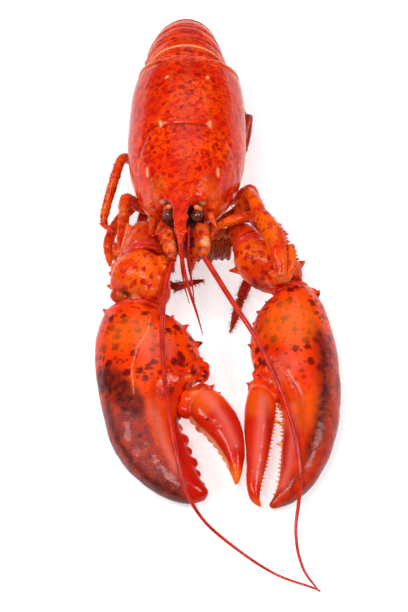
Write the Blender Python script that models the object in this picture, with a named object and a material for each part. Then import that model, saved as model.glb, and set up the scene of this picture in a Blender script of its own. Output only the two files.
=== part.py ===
"""A whole boiled lobster at rest, its tail curled under and its two claws laid out in front.

Metres, +Z up. The body's own axis runs along Y, with the head towards -Y, and X = 0 is its middle plane.
The table is Z = 0. The claws, the telson and the tail fan lie on it. The tables of stations below are in
millimetres, and MM turns them into metres where the meshes are made.
"""

import math

import bmesh
import bpy
from mathutils import Vector

MM = 0.001
UP = Vector((0, 0, 1))

# Driving sizes, in millimetres.
CARAPACE_HALF_WIDTH = 29.5
CARAPACE_TOP = 66.0
ORBIT_Y = -54.0
REAR_Y = 35.0
FAN_THICKNESS = 2.2
EYE_RADIUS = 2.4
GAP = 0.4  # between pieces that meet at a joint
REST = Vector((-3.5, 62.0, 0.0))  # the middle of the telson's flat face, which is the origin of the frame

SHELL_RED = (0.78, 0.09, 0.012)
SHELL_ORANGE = (0.86, 0.17, 0.015)
FEELER_RED = (0.62, 0.03, 0.012)
EYE_BROWN = (0.05, 0.018, 0.01)


def material(name, colour, roughness):
    made = bpy.data.materials.new(name)
    made.use_nodes = True
    shader = made.node_tree.nodes["Principled BSDF"]
    shader.inputs["Base Color"].default_value = (*colour, 1.0)
    shader.inputs["Roughness"].default_value = roughness
    shader.inputs["Metallic"].default_value = 0.0
    return made


def between(a, b, share):
    return a + (b - a) * share


def smooth(rows, steps):
    """The rows with steps - 1 more between each two of them, on a curve through them all."""
    out = []
    for i in range(len(rows) - 1):
        a, b = rows[max(i - 1, 0)], rows[i]
        c, d = rows[i + 1], rows[min(i + 2, len(rows) - 1)]
        for k in range(steps):
            t = k / steps
            out.append(tuple(
                0.5 * (2 * q + (r - p) * t + (2 * p - 5 * q + 4 * r - s) * t * t
                       + (3 * q - p - 3 * r + s) * t ** 3)
                for p, q, r, s in zip(a, b, c, d)
            ))
    out.append(tuple(rows[-1]))
    return out


def section(left, right, top, bottom, sides, fullness=2.0, up=UP):
    """One closed outline round the line from left to right. A fullness of 2 is an ellipse, and less is a lens."""
    middle, half = (left + right) / 2, (right - left) / 2
    points = []
    for k in range(sides):
        turn = math.tau * (k + 0.5) / sides
        c, s = math.cos(turn), math.sin(turn)
        across = math.copysign(abs(c) ** (2 / fullness), c)
        rise = math.copysign(abs(s) ** (2 / fullness), s)
        points.append(middle + half * across + up * rise * (top if s > 0 else bottom))
    return points


def loft(name, rings, finish):
    """A closed solid through the rings, in millimetres, each a list of as many points."""
    shape = bmesh.new()
    loops = [[shape.verts.new((Vector((p.x, p.y, max(p.z, 0))) - REST) * MM) for p in ring] for ring in rings]
    for near, far in zip(loops, loops[1:]):
        for k in range(len(near)):
            n = (k + 1) % len(near)
            shape.faces.new((near[k], near[n], far[n], far[k]))
    shape.faces.new(loops[0][::-1])
    shape.faces.new(loops[-1])
    bmesh.ops.recalc_face_normals(shape, faces=shape.faces)
    mesh = bpy.data.meshes.new(name)
    shape.to_mesh(mesh)
    shape.free()
    mesh.shade_smooth()
    mesh.set_sharp_from_angle(angle=math.radians(50))
    mesh.materials.append(finish)
    piece = bpy.data.objects.new(name, mesh)
    bpy.context.collection.objects.link(piece)
    return piece


def limb(name, stations, finish, sides=8, steps=1):
    """A limb segment along its stations, each (x, y, z, half width, half height)."""
    rows = smooth(stations, steps)
    centres = [Vector(row[:3]) for row in rows]
    rings = []
    for i, row in enumerate(rows):
        along = (centres[min(i + 1, len(rows) - 1)] - centres[max(i - 1, 0)]).normalized()
        side = along.cross(UP).normalized()
        rise = side.cross(along)
        rings.append(section(
            centres[i] - side * row[3], centres[i] + side * row[3], row[4], row[4], sides, up=rise))
    return loft(name, rings, finish)


def mirrored(stations):
    return [(-row[0], *row[1:]) for row in stations]


# ---------------------------------------------------------------- body

def make_carapace(finish):
    """The shell of head and thorax in one piece, from its rear edge to the tip of the rostrum."""
    w, top = CARAPACE_HALF_WIDTH, CARAPACE_TOP
    shell = [  # y, half width, height of the widest place, top, bottom, lean, sweep of the flanks to the rear
        (REAR_Y, w - 4.3, 41.5, top - 4.4, 28, -1.6, 4.5),
        (REAR_Y - 5, w - 2.4, 40.5, top - 2.4, 23, -1.3, 3.0),
        (REAR_Y - 17, w - 0.6, 39.5, top - 0.4, 18, -1.0, 1.0),
        (4, w, 38, top, 15.5, -0.7, 0),
        (-10, w, 37.5, top - 0.4, 14.5, -0.4, 0),
        (-24, w - 1.8, 37, top - 1.6, 15, -0.2, 0),
        (-36, w - 5.6, 37, top - 4.0, 19, 0, 0),
        (ORBIT_Y + 8.5, w - 10.2, 38, top - 6.8, 24.5, 0, 0),
        (ORBIT_Y + 3.2, w - 14.4, 40, top - 8.6, 31.5, 0, 0),
        (ORBIT_Y + 1.0, w - 18.5, 44.5, top - 9.1, 38, -0.2, 0),
        (ORBIT_Y, w - 22.5, 49, top - 9.3, 44.5, -0.5, 0),
    ]
    rostrum = [
        (ORBIT_Y - 0.8, 5.0, 52.8, 56.5, 50.2, -0.8, 0),
        (ORBIT_Y - 4.5, 3.5, 52.2, 55.8, 49.8, -1.1, 0),
        (ORBIT_Y - 11, 3.1, 51.4, 54.5, 49.3, -0.8, 0),
        (ORBIT_Y - 17, 2.6, 50.6, 53.0, 48.8, -0.4, 0),
        (ORBIT_Y - 18.5, 2.5, 50.4, 52.6, 48.7, -0.3, 0),
        (ORBIT_Y - 20, 1.4, 50.0, 51.8, 48.5, -0.3, 0),
        (ORBIT_Y - 24.5, 1.0, 49.0, 50.2, 47.9, -0.2, 0),
        (ORBIT_Y - 28.5, 0.4, 48.0, 48.5, 47.5, -0.1, 0),
    ]
    rings = []
    for y, half, middle, high, low, lean, sweep in smooth(shell, 2) + rostrum:
        ring = section(
            Vector((lean - half, y, middle)), Vector((lean + half, y, middle)),
            high - middle, middle - low, 24, 2.15)
        for point in ring:
            point.y += sweep * (1 - max(point.z - middle, 0) / (high - middle))
        rings.append(ring)
    return loft("carapace", rings, finish)


def make_sternum(finish):
    """The plate of the underside between the bases of the legs."""
    rings = [
        section(Vector((-half, y, z)), Vector((half, y, z)), 2.6, 2.6, 8)
        for y, half, z in ((-44, 6, 11), (-34, 9, 10.5), (-14, 12, 10), (6, 13, 11), (20, 11, 13.5))
    ]
    return loft("sternum", rings, finish)


def make_tail(finish):
    """Six arched segments that curl down behind the carapace and back under it."""
    joints = [  # back y, back z, belly y, belly z, half width, lean of the back, lean of the belly
        (REAR_Y + GAP, 60.8, 42.6, 32.0, 20.0, -1.8, -2.0),
        (43.5, 60.4, 46.5, 31.5, 20.6, -1.8, -2.8),
        (55.5, 57.4, 51.0, 30.0, 20.6, -1.8, -4.2),
        (68.5, 52.4, 55.5, 28.0, 19.6, -1.8, -5.4),
        (80.0, 45.2, 59.5, 25.0, 18.2, -2.0, -6.2),
        (88.0, 32.0, 62.5, 21.0, 17.0, -2.8, -6.0),
        (85.0, 16.0, 64.5, 14.0, 14.5, -3.5, -5.0),
    ]
    for i, (front, rear) in enumerate(zip(joints, joints[1:])):
        rings = []
        for share in (0.0, 0.5, 1.0):
            back_y, back_z, belly_y, belly_z, half, back_x, belly_x = (
                between(a, b, share) for a, b in zip(front, rear))
            back, belly = Vector((back_x, back_y, back_z)), Vector((belly_x, belly_y, belly_z))
            along = Vector((0, rear[0] - front[0], rear[1] - front[1])).normalized()
            inset = along * GAP * (0.5 - share)
            swell = 1.0 + 0.03 * math.sin(math.pi * share)
            rings.append(arch(belly + inset, (back - belly) * swell, half * swell))
        loft(f"tail_segment_{i + 1}", rings, finish)


def arch(foot, rise, half):
    """A tail segment's outline: a high arch over a belly that is hollowed between the side flaps."""
    side = Vector((1, 0, 0))
    side = (side - rise * side.dot(rise) / rise.length_squared).normalized()
    points = []
    arc = 13
    for k in range(arc):
        turn = math.radians(-12 + 204 * k / (arc - 1))
        lift = 0.22 + 0.78 * math.sin(turn)
        points.append(foot + side * half * math.cos(turn) + rise * lift)
    for share in (-0.62, 0.0, 0.62):
        points.append(foot + side * half * share + rise * 0.12)
    return points


def make_fan(finish):
    """The telson and its two pairs of uropods, turned under the tail with their outer faces on the table."""
    blades = [  # name, root x, root y, heading in degrees from -Y, length, half width
        ("telson", REST.x, 81.5, 0.0, 37.0, 8.2),
        ("uropod_inner_left", REST.x + 11.6, 81.0, 6.0, 38.0, 5.2),
        ("uropod_outer_left", REST.x + 19.4, 79.6, 16.0, 39.0, 5.4),
        ("uropod_inner_right", REST.x - 11.6, 81.0, -6.0, 38.0, 5.2),
        ("uropod_outer_right", REST.x - 19.4, 79.6, -16.0, 39.0, 5.4),
    ]
    outline = (  # share of the length, share of the width, height of the lower face
        (0.0, 0.5, 9.0), (0.06, 0.62, 4.5), (0.16, 0.76, 1.0), (0.28, 0.88, 0.0),
        (0.55, 1.0, 0.0), (0.78, 0.97, 0.0), (0.92, 0.78, 0.0), (1.0, 0.35, 0.0))
    for name, x, y, heading, length, half in blades:
        turn = math.radians(heading)
        forward = Vector((math.sin(turn), -math.cos(turn), 0))
        side = Vector((math.cos(turn), math.sin(turn), 0))
        rings = []
        for share, width, height in outline:
            middle = Vector((x, y, height + FAN_THICKNESS / 2)) + forward * length * share
            ring = section(
                middle - side * half * width, middle + side * half * width,
                FAN_THICKNESS / 2, FAN_THICKNESS / 2, 12, 4.0)
            rings.append([Vector((p.x, p.y, max(p.z, height))) for p in ring])
        loft(name, rings, finish)


# ---------------------------------------------------------------- head

def make_head(finishes):
    orange, feeler, eye = finishes
    for word, side in (("left", 1), ("right", -1)):
        limb(f"eye_{word}", [
            (side * 5.9, -55.4, 46.4, 1.6, 1.5),
            (side * 6.3, -56.4, 46.4, EYE_RADIUS, EYE_RADIUS),
            (side * 6.8, -58.2, 46.2, EYE_RADIUS, EYE_RADIUS),
            (side * 7.1, -59.6, 46.0, 1.3, 1.3),
        ], eye, 8)
    limb("antenna_base_right", [
        (-9.4, -58.6, 38.5, 4.0, 3.6), (-7.6, -63.5, 38.0, 4.3, 4.0), (-6.0, -68.0, 36.5, 3.6, 3.4),
        (-4.8, -71.0, 35.0, 3.4, 3.2), (-4.2, -75.5, 33.6, 1.9, 1.9)], orange, 10)
    limb("antenna_base_left", [
        (8.6, -58.8, 38.6, 4.0, 3.6), (9.2, -63.0, 39.6, 4.0, 3.8), (9.8, -67.0, 39.8, 4.2, 4.0),
        (10.2, -71.0, 39.2, 3.8, 3.6), (10.9, -75.0, 38.2, 1.9, 1.9)], orange, 10)
    limb("antenna_scale_right", [
        (-14.6, -55.0, 41.5, 2.0, 1.2), (-14.6, -59.0, 40.4, 1.8, 1.0), (-14.2, -64.5, 38.6, 0.4, 0.4)],
        orange, 6)
    limb("antenna_scale_left", [
        (12.8, -53.4, 44.5, 2.0, 1.2), (13.8, -56.6, 43.4, 1.8, 1.0), (16.2, -60.8, 42.2, 0.4, 0.4)],
        orange, 6)
    limb("antenna_right", [
        (-4.0, -76.8, 33.8, 1.5, 1.5), (-6.2, -87.0, 34.2, 1.4, 1.4), (-7.0, -104.0, 33.0, 1.3, 1.3),
        (-6.5, -120.5, 32.6, 1.25, 1.25), (-5.0, -136.5, 32.4, 1.2, 1.2), (-2.4, -152.0, 30.0, 1.1, 1.1),
        (0.4, -166.0, 27.0, 1.05, 1.05), (3.6, -180.0, 22.8, 1.0, 1.0), (8.0, -191.5, 16.4, 0.9, 0.9),
        (17.0, -201.0, 7.0, 0.8, 0.8), (33.0, -212.0, 1.6, 0.7, 0.7), (48.0, -221.5, 0.8, 0.6, 0.6),
        (62.0, -226.5, 0.6, 0.5, 0.5), (67.0, -228.5, 0.5, 0.3, 0.3)], feeler, 6, 2)
    limb("antenna_left", [
        (11.3, -76.2, 37.9, 1.5, 1.5), (24.7, -100.0, 36.4, 1.4, 1.4), (35.7, -118.2, 34.4, 1.3, 1.3),
        (43.3, -133.7, 32.2, 1.2, 1.2), (49.7, -149.0, 29.4, 1.15, 1.15), (54.9, -166.0, 24.6, 1.05, 1.05),
        (57.4, -182.0, 17.8, 0.95, 0.95), (57.0, -191.5, 11.6, 0.9, 0.9), (56.0, -201.0, 7.0, 0.8, 0.8),
        (57.0, -211.5, 4.4, 0.75, 0.75), (60.0, -220.5, 2.8, 0.65, 0.65), (64.5, -227.0, 2.2, 0.5, 0.5),
        (66.5, -229.5, 1.8, 0.3, 0.3)], feeler, 6, 2)
    limb("antennule_right", [
        (-0.6, -60.5, 44.0, 1.8, 1.6), (-0.2, -70.0, 40.0, 1.5, 1.4), (1.0, -77.0, 33.6, 0.9, 0.9),
        (4.2, -86.0, 26.6, 0.7, 0.7), (8.0, -94.4, 20.0, 0.55, 0.55), (11.4, -103.2, 14.0, 0.3, 0.3)],
        feeler, 6, 2)
    limb("antennule_left", [
        (3.2, -60.5, 43.6, 1.6, 1.5), (3.6, -69.0, 38.4, 1.4, 1.3), (4.4, -75.0, 31.8, 0.9, 0.9),
        (7.4, -84.0, 25.8, 0.7, 0.7), (9.8, -91.6, 20.6, 0.5, 0.5), (12.0, -97.6, 16.4, 0.3, 0.3)],
        feeler, 6, 2)
    jaw = [
        (5.8, -45.0, 17.0, 3.0, 2.4), (6.0, -57.0, 22.5, 3.2, 3.0), (5.6, -64.0, 27.0, 2.8, 2.8),
        (5.0, -68.5, 26.4, 2.2, 2.2), (4.2, -71.0, 20.0, 0.8, 0.8)]
    limb("maxilliped_left", jaw, orange, 8)
    limb("maxilliped_right", mirrored(jaw), orange, 8)


# ---------------------------------------------------------------- claws

def blade(name, stations, finish, sides=16, fullness=1.75):
    """A flat claw piece. Each station is its two edges in plan, the height between them, and its two bulges."""
    rings = []
    for x0, y0, x1, y1, middle, top, bottom in stations:
        rings.append(section(
            Vector((x0, y0, middle)), Vector((x1, y1, middle)), top, bottom, sides, fullness))
    return loft(name, rings, finish)


def make_crusher(shell, orange):
    """The broad claw, on the lobster's own right side."""
    blade("crusher_propodus", [  # outer x, y, inner x, y, height between, top bulge, lower bulge
        (-30.5, -89.5, -11.0, -95.5, 17.5, 6.0, 7.0),
        (-35.6, -94.0, -4.6, -97.2, 16.5, 10.0, 13.0),
        (-38.2, -103.0, 1.2, -99.6, 15.5, 12.5, 15.5),
        (-38.8, -113.0, 6.3, -105.0, 14.8, 14.0, 15.4),
        (-38.2, -122.5, 10.2, -112.4, 14.2, 14.5, 15.0),
        (-36.4, -132.0, 12.0, -119.8, 13.8, 14.5, 14.6),
        (-34.3, -141.0, 11.8, -126.6, 13.2, 14.2, 14.0),
        (-32.0, -150.5, 6.4, -134.6, 12.6, 13.4, 13.4),
        (-29.2, -160.0, 2.4, -143.8, 12.0, 12.4, 12.8),
        (-25.4, -168.2, 1.4, -151.2, 11.0, 11.4, 12.0),
        (-20.0, -175.4, 3.8, -156.4, 10.2, 10.2, 11.4),
        (-13.2, -181.8, 6.3, -162.0, 9.6, 9.0, 10.8),
        (-5.6, -186.8, 8.4, -168.2, 9.0, 7.8, 10.4),
        (2.3, -190.4, 11.0, -174.8, 8.4, 6.4, 9.0),
        (9.6, -191.2, 13.8, -180.4, 7.8, 4.8, 6.0),
        (15.2, -188.6, 16.8, -185.2, 7.4, 2.0, 2.0),
    ], shell)
    blade("crusher_dactyl", [
        (6.2, -147.6, 15.2, -134.4, 15.0, 5.5, 6.0),
        (8.4, -152.2, 20.4, -137.4, 15.0, 7.2, 7.5),
        (11.2, -155.8, 24.4, -141.6, 14.5, 7.4, 7.6),
        (14.4, -158.4, 27.4, -145.8, 14.0, 7.2, 7.5),
        (17.7, -161.4, 30.0, -150.6, 13.5, 6.8, 7.2),
        (20.2, -164.9, 31.6, -156.0, 13.0, 6.4, 7.0),
        (22.6, -168.2, 32.4, -161.6, 12.5, 6.0, 6.5),
        (24.6, -172.0, 32.6, -167.4, 12.0, 5.2, 5.6),
        (26.4, -176.0, 32.2, -173.0, 11.4, 4.2, 4.6),
        (28.0, -179.8, 31.2, -178.6, 10.8, 2.6, 2.8),
        (29.0, -182.2, 29.8, -182.0, 10.2, 0.8, 0.8),
    ], shell, 12, 1.9)
    blade("crusher_carpus", [
        (-26.0, -67.0, -9.5, -71.5, 27.0, 8.0, 8.0),
        (-31.2, -72.0, -6.5, -76.5, 26.0, 11.5, 11.0),
        (-34.0, -79.0, -4.0, -84.4, 24.5, 12.5, 11.0),
        (-33.4, -84.0, -4.2, -90.0, 23.0, 11.0, 9.5),
        (-28.6, -87.0, -9.5, -93.4, 20.5, 8.0, 7.0),
    ], orange, 14, 2.2)
    limb("crusher_merus", [
        (-18.6, -43.6, 17.0, 5.4, 5.4), (-19.6, -50.0, 23.2, 7.2, 7.4), (-19.0, -58.0, 27.0, 8.6, 8.8),
        (-18.2, -65.0, 27.8, 8.6, 8.6)], orange, 12)
    limb("crusher_ischium", [
        (-12.4, -35.6, 7.6, 3.8, 3.6), (-15.2, -39.0, 10.2, 4.6, 4.6), (-17.4, -41.8, 13.8, 4.6, 4.6)],
        orange, 8)


def make_cutter(shell, orange):
    """The slender claw with the fine teeth, on the lobster's own left side."""
    blade("cutter_propodus", [  # outer x, y, inner x, y, height between, top bulge, lower bulge
        (60.0, -76.8, 46.6, -83.4, 19.5, 6.0, 7.0),
        (65.0, -81.6, 41.4, -86.4, 18.4, 9.5, 12.0),
        (69.2, -89.6, 37.2, -91.8, 16.8, 12.0, 16.5),
        (72.2, -99.0, 34.8, -98.6, 15.6, 13.2, 16.0),
        (74.2, -109.0, 33.8, -106.4, 14.8, 13.6, 15.6),
        (75.4, -120.0, 33.8, -114.0, 14.2, 13.6, 15.0),
        (75.9, -131.0, 35.8, -121.8, 13.6, 13.2, 14.6),
        (75.6, -140.6, 42.4, -130.0, 12.8, 12.4, 13.8),
        (74.9, -149.0, 49.4, -140.6, 12.0, 11.2, 13.0),
        (73.4, -157.0, 50.2, -149.4, 11.2, 10.0, 12.2),
        (71.2, -165.0, 49.8, -157.4, 10.4, 9.0, 11.4),
        (68.0, -172.6, 49.6, -165.4, 9.6, 8.0, 10.6),
        (63.6, -179.6, 49.2, -173.4, 8.8, 6.8, 9.8),
        (58.0, -185.4, 48.4, -180.4, 8.0, 5.0, 8.6),
        (52.0, -189.4, 46.8, -186.2, 7.2, 3.0, 4.4),
        (46.0, -191.4, 44.6, -190.2, 6.6, 0.8, 0.8),
    ], shell)
    blade("cutter_dactyl", [
        (34.2, -130.4, 44.6, -136.4, 15.0, 5.5, 6.0),
        (33.4, -136.4, 46.4, -141.4, 15.0, 7.0, 7.2),
        (32.2, -143.5, 46.2, -147.4, 14.5, 7.0, 7.5),
        (31.8, -151.1, 45.4, -153.8, 13.5, 6.6, 7.0),
        (32.6, -159.2, 44.4, -160.8, 12.5, 6.0, 6.5),
        (33.6, -166.4, 43.4, -167.0, 11.5, 5.4, 6.0),
        (33.9, -174.4, 42.0, -173.8, 10.5, 4.8, 5.2),
        (33.8, -180.6, 40.6, -179.6, 10.0, 4.0, 4.4),
        (34.8, -187.0, 39.8, -185.2, 9.0, 3.0, 3.4),
        (37.2, -190.4, 39.4, -188.6, 8.0, 1.8, 2.0),
        (40.4, -191.4, 40.6, -190.9, 7.0, 0.5, 0.5),
    ], shell, 12, 1.9)
    blade("cutter_carpus", [
        (40.5, -58.6, 25.0, -64.4, 28.4, 7.5, 8.0),
        (49.0, -61.4, 24.4, -69.4, 27.4, 10.5, 11.0),
        (55.2, -66.4, 29.0, -76.4, 25.6, 11.8, 11.0),
        (58.2, -71.4, 36.4, -80.4, 24.0, 10.5, 10.0),
        (57.4, -75.0, 44.4, -81.4, 21.6, 7.0, 7.0),
    ], orange, 14, 2.2)
    limb("cutter_merus", [
        (24.2, -43.8, 17.4, 5.4, 5.4), (27.4, -48.4, 22.6, 6.6, 6.8), (30.0, -53.2, 26.0, 7.2, 7.4),
        (31.6, -57.4, 27.6, 7.0, 7.2)], orange, 12)
    limb("cutter_ischium", [
        (12.4, -36.4, 7.6, 3.8, 3.6), (17.0, -39.6, 10.2, 4.6, 4.6), (21.6, -42.0, 14.0, 4.6, 4.6)],
        orange, 8)


# ---------------------------------------------------------------- walking legs

def make_legs(finish):
    legs = {  # each leg: its merus, its carpus with the propodus, and its dactyl
        "left_1": (
            [(16.0, -30.0, 10.4, 2.8, 2.8), (22.6, -31.0, 16.6, 3.0, 3.0), (27.2, -34.4, 26.2, 3.1, 3.1),
             (31.4, -31.8, 34.5, 3.5, 3.5), (34.4, -41.0, 39.0, 3.5, 3.5), (36.8, -50.5, 41.0, 3.3, 3.3)],
            [(37.4, -52.4, 41.4, 3.3, 3.3), (40.2, -59.0, 43.0, 3.8, 3.8), (44.0, -67.5, 44.0, 4.6, 4.4),
             (45.6, -76.0, 43.2, 3.4, 3.6), (47.0, -84.0, 41.0, 2.0, 2.2), (47.6, -89.2, 39.0, 0.6, 0.7)],
            [(51.4, -72.0, 43.0, 1.4, 1.6), (52.2, -78.5, 41.4, 1.8, 2.0), (51.2, -84.0, 39.6, 1.3, 1.4),
             (49.8, -88.6, 38.0, 0.5, 0.5)]),
        "left_2": (
            [(16.0, -16.0, 9.0, 2.8, 2.8), (25.0, -16.0, 13.0, 3.0, 3.0), (31.2, -18.4, 23.0, 3.1, 3.1),
             (32.0, -21.6, 27.0, 3.2, 3.2), (35.2, -31.0, 26.0, 3.0, 3.0), (34.6, -41.6, 30.4, 3.0, 3.0)],
            [(33.2, -44.2, 32.2, 2.9, 2.9), (29.6, -46.8, 34.6, 2.9, 2.9), (22.4, -50.8, 36.2, 2.6, 2.7),
             (15.9, -54.8, 36.0, 1.6, 1.7)],
            [(14.6, -57.0, 35.2, 1.3, 1.4), (13.6, -60.4, 33.6, 0.5, 0.6)]),
        "left_3": (
            [(16.5, -5.0, 9.6, 2.8, 2.8), (25.0, -8.6, 7.6, 3.0, 3.0), (33.0, -22.0, 7.6, 3.0, 3.1),
             (38.0, -36.0, 12.0, 3.0, 3.1), (38.0, -48.0, 12.4, 2.8, 3.0)],
            [(37.0, -51.5, 12.0, 2.8, 3.0), (33.0, -62.0, 9.0, 2.8, 3.2), (29.0, -73.0, 5.2, 2.6, 3.2)],
            [(28.2, -75.0, 4.6, 2.4, 2.8), (26.0, -84.0, 2.4, 1.9, 2.0), (24.4, -90.0, 1.0, 0.6, 0.8)]),
        "left_4": (
            [(16.5, 8.0, 10.0, 2.8, 2.8), (21.4, 13.0, 11.6, 3.0, 3.0), (26.2, 26.0, 14.8, 3.0, 3.0),
             (28.2, 38.0, 16.8, 2.9, 2.9)],
            [(29.4, 42.8, 12.8, 2.5, 2.6), (29.0, 34.0, 8.2, 2.7, 2.8), (26.8, 24.0, 5.0, 2.4, 2.6),
             (24.4, 14.0, 3.6, 2.2, 2.4)],
            [(23.8, 11.6, 3.2, 1.9, 2.0), (21.4, 4.0, 1.4, 0.6, 0.7)]),
        "right_1": (
            [(-16.0, -24.0, 10.0, 2.8, 2.8), (-23.0, -25.0, 14.5, 3.0, 3.0), (-28.4, -26.5, 22.0, 3.2, 3.2),
             (-29.6, -31.0, 28.0, 3.3, 3.4), (-29.7, -37.0, 26.6, 3.1, 3.3)],
            [(-29.8, -38.8, 25.6, 3.0, 3.2), (-30.2, -45.6, 20.0, 2.9, 3.2), (-30.9, -50.6, 14.6, 2.2, 2.5),
             (-31.2, -55.0, 9.6, 0.7, 0.8)],
            [(-34.2, -48.6, 13.6, 1.2, 1.5), (-34.0, -54.2, 8.6, 0.5, 0.5)]),
        "right_2": (
            [(-16.0, -13.0, 11.5, 2.8, 2.8), (-27.0, -20.0, 11.0, 3.0, 3.0), (-33.0, -29.0, 9.6, 2.8, 3.0)],
            [(-34.6, -31.6, 9.4, 2.6, 2.8), (-37.0, -38.5, 9.6, 2.8, 3.0), (-38.4, -45.0, 8.0, 2.9, 3.2),
             (-37.0, -51.0, 4.8, 1.8, 2.0), (-36.4, -54.4, 3.0, 0.6, 0.7)],
            [(-33.8, -43.6, 5.6, 1.1, 1.3), (-33.8, -50.0, 3.4, 0.5, 0.6)]),
        "right_3": (
            [(-16.0, -4.0, 7.6, 2.8, 2.8), (-21.0, -14.0, 4.2, 2.8, 2.9), (-24.0, -34.0, 3.6, 2.8, 2.9),
             (-21.0, -50.0, 3.8, 2.8, 2.9)],
            [(-19.6, -53.6, 4.0, 2.7, 2.8), (-12.0, -64.0, 5.0, 2.7, 3.0), (-6.0, -67.4, 5.0, 2.6, 3.0)],
            [(-3.8, -67.9, 5.0, 2.4, 2.8), (2.0, -65.4, 4.6, 2.0, 2.2), (9.4, -62.4, 4.0, 0.6, 0.8)]),
        "right_4": (
            [(-16.0, 6.0, 10.0, 2.8, 2.8), (-24.0, 4.6, 14.0, 3.0, 3.0), (-31.0, 1.0, 22.0, 2.9, 2.9),
             (-33.6, -3.6, 28.0, 2.7, 2.8), (-35.2, -15.4, 28.6, 2.5, 2.7)],
            [(-35.8, -18.0, 28.0, 2.5, 2.7), (-38.4, -26.6, 22.4, 2.4, 2.7), (-40.6, -34.4, 16.2, 2.1, 2.3)],
            [(-41.0, -36.8, 15.0, 1.5, 1.5), (-38.4, -39.6, 15.2, 1.3, 1.3), (-35.4, -42.0, 15.2, 0.5, 0.6)]),
    }
    for name, (merus, shank, dactyl) in legs.items():
        limb(f"leg_{name}_merus", merus, finish)
        limb(f"leg_{name}_propodus", shank, finish)
        limb(f"leg_{name}_dactyl", dactyl, finish, 6)


def main():
    for old in list(bpy.data.objects):
        bpy.data.objects.remove(old)
    shell = material("shell_red", SHELL_RED, 0.28)
    orange = material("limb_orange", SHELL_ORANGE, 0.32)
    feeler = material("feeler_red", FEELER_RED, 0.35)
    eye = material("eye_brown", EYE_BROWN, 0.15)
    make_carapace(shell)
    make_sternum(orange)
    make_tail(shell)
    make_fan(shell)
    make_head((orange, feeler, eye))
    make_crusher(shell, orange)
    make_cutter(shell, orange)
    make_legs(orange)


main()
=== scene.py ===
import math
import random

import bpy
import numpy as np
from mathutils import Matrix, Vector


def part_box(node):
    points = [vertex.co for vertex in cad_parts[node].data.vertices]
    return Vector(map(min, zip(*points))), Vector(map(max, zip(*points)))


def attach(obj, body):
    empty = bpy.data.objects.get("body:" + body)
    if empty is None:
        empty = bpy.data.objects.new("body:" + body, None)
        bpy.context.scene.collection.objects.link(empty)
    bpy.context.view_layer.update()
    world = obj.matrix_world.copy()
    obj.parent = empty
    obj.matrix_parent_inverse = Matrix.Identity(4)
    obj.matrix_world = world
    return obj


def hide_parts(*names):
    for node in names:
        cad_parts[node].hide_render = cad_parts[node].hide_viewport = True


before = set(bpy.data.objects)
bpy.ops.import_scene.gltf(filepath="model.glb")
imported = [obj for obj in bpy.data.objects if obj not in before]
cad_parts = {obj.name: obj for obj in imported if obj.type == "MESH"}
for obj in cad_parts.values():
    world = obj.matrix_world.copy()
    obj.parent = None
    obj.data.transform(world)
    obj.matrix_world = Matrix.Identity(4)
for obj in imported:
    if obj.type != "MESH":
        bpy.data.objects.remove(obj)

mm = 0.001
fromSide, fromRear = 0.030, 0.0395  # the middle, from the carapace's box
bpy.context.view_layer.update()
shellLow, shellHigh = (Vector(corner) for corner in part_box("carapace"))
middle = Vector((shellLow.x + fromSide, shellHigh.y - fromRear, 0.0))  # on the table; all places are in mm from it
dice = random.Random(7)


def place(x, y, z):
    return middle + Vector((x, y, z)) * mm


# camera, floor and lights

view = {"aim": (10.8, -75, 0), "elevation": 52, "azimuth": 2.3, "distance": 0.8, "lens": 96.47, "far": 20}
lamps = {  # place, width, height, power, colour
    "lamp_top": ((-200, -520, 1050), 0.3, 0.26, 5.5, (1, 0.99, 0.98)),
    "lamp_wing_left": ((-760, -260, 840), 0.36, 0.36, 5.8, (1, 1, 1)),
    "lamp_wing_right": ((780, -200, 840), 0.36, 0.36, 5.8, (1, 1, 1)),
    "lamp_high": ((0, 600, 1100), 1.0, 0.8, 3.0, (1, 1, 1)),
    "lamp_left": ((-850, 560, 40), 1.2, 0.08, 0.6, (1, 1, 1)),
    "lamp_right": ((870, 560, 40), 1.2, 0.08, 0.6, (1, 1, 1)),
}
lampAim = Vector((0, 0.04, 0.02))  # from the camera's aim, in metres
room = {"horizon": 0.6, "ceiling": 0.045, "fade": 0.08}  # how bright the walls and the ceiling are
paper = {"size": 6, "drop": -0.0002, "colour": (0.52, 0.54, 0.55, 1), "rough": 0.7, "glow": 0.62}
white = (1, 1, 1, 1)


def fill(node, values):
    for name, value in values.items():
        node.inputs[name].default_value = value


def aimAt(thing, location, target):
    thing.location = location
    thing.rotation_euler = (location - target).to_track_quat("Z", "Y").to_euler()


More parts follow.
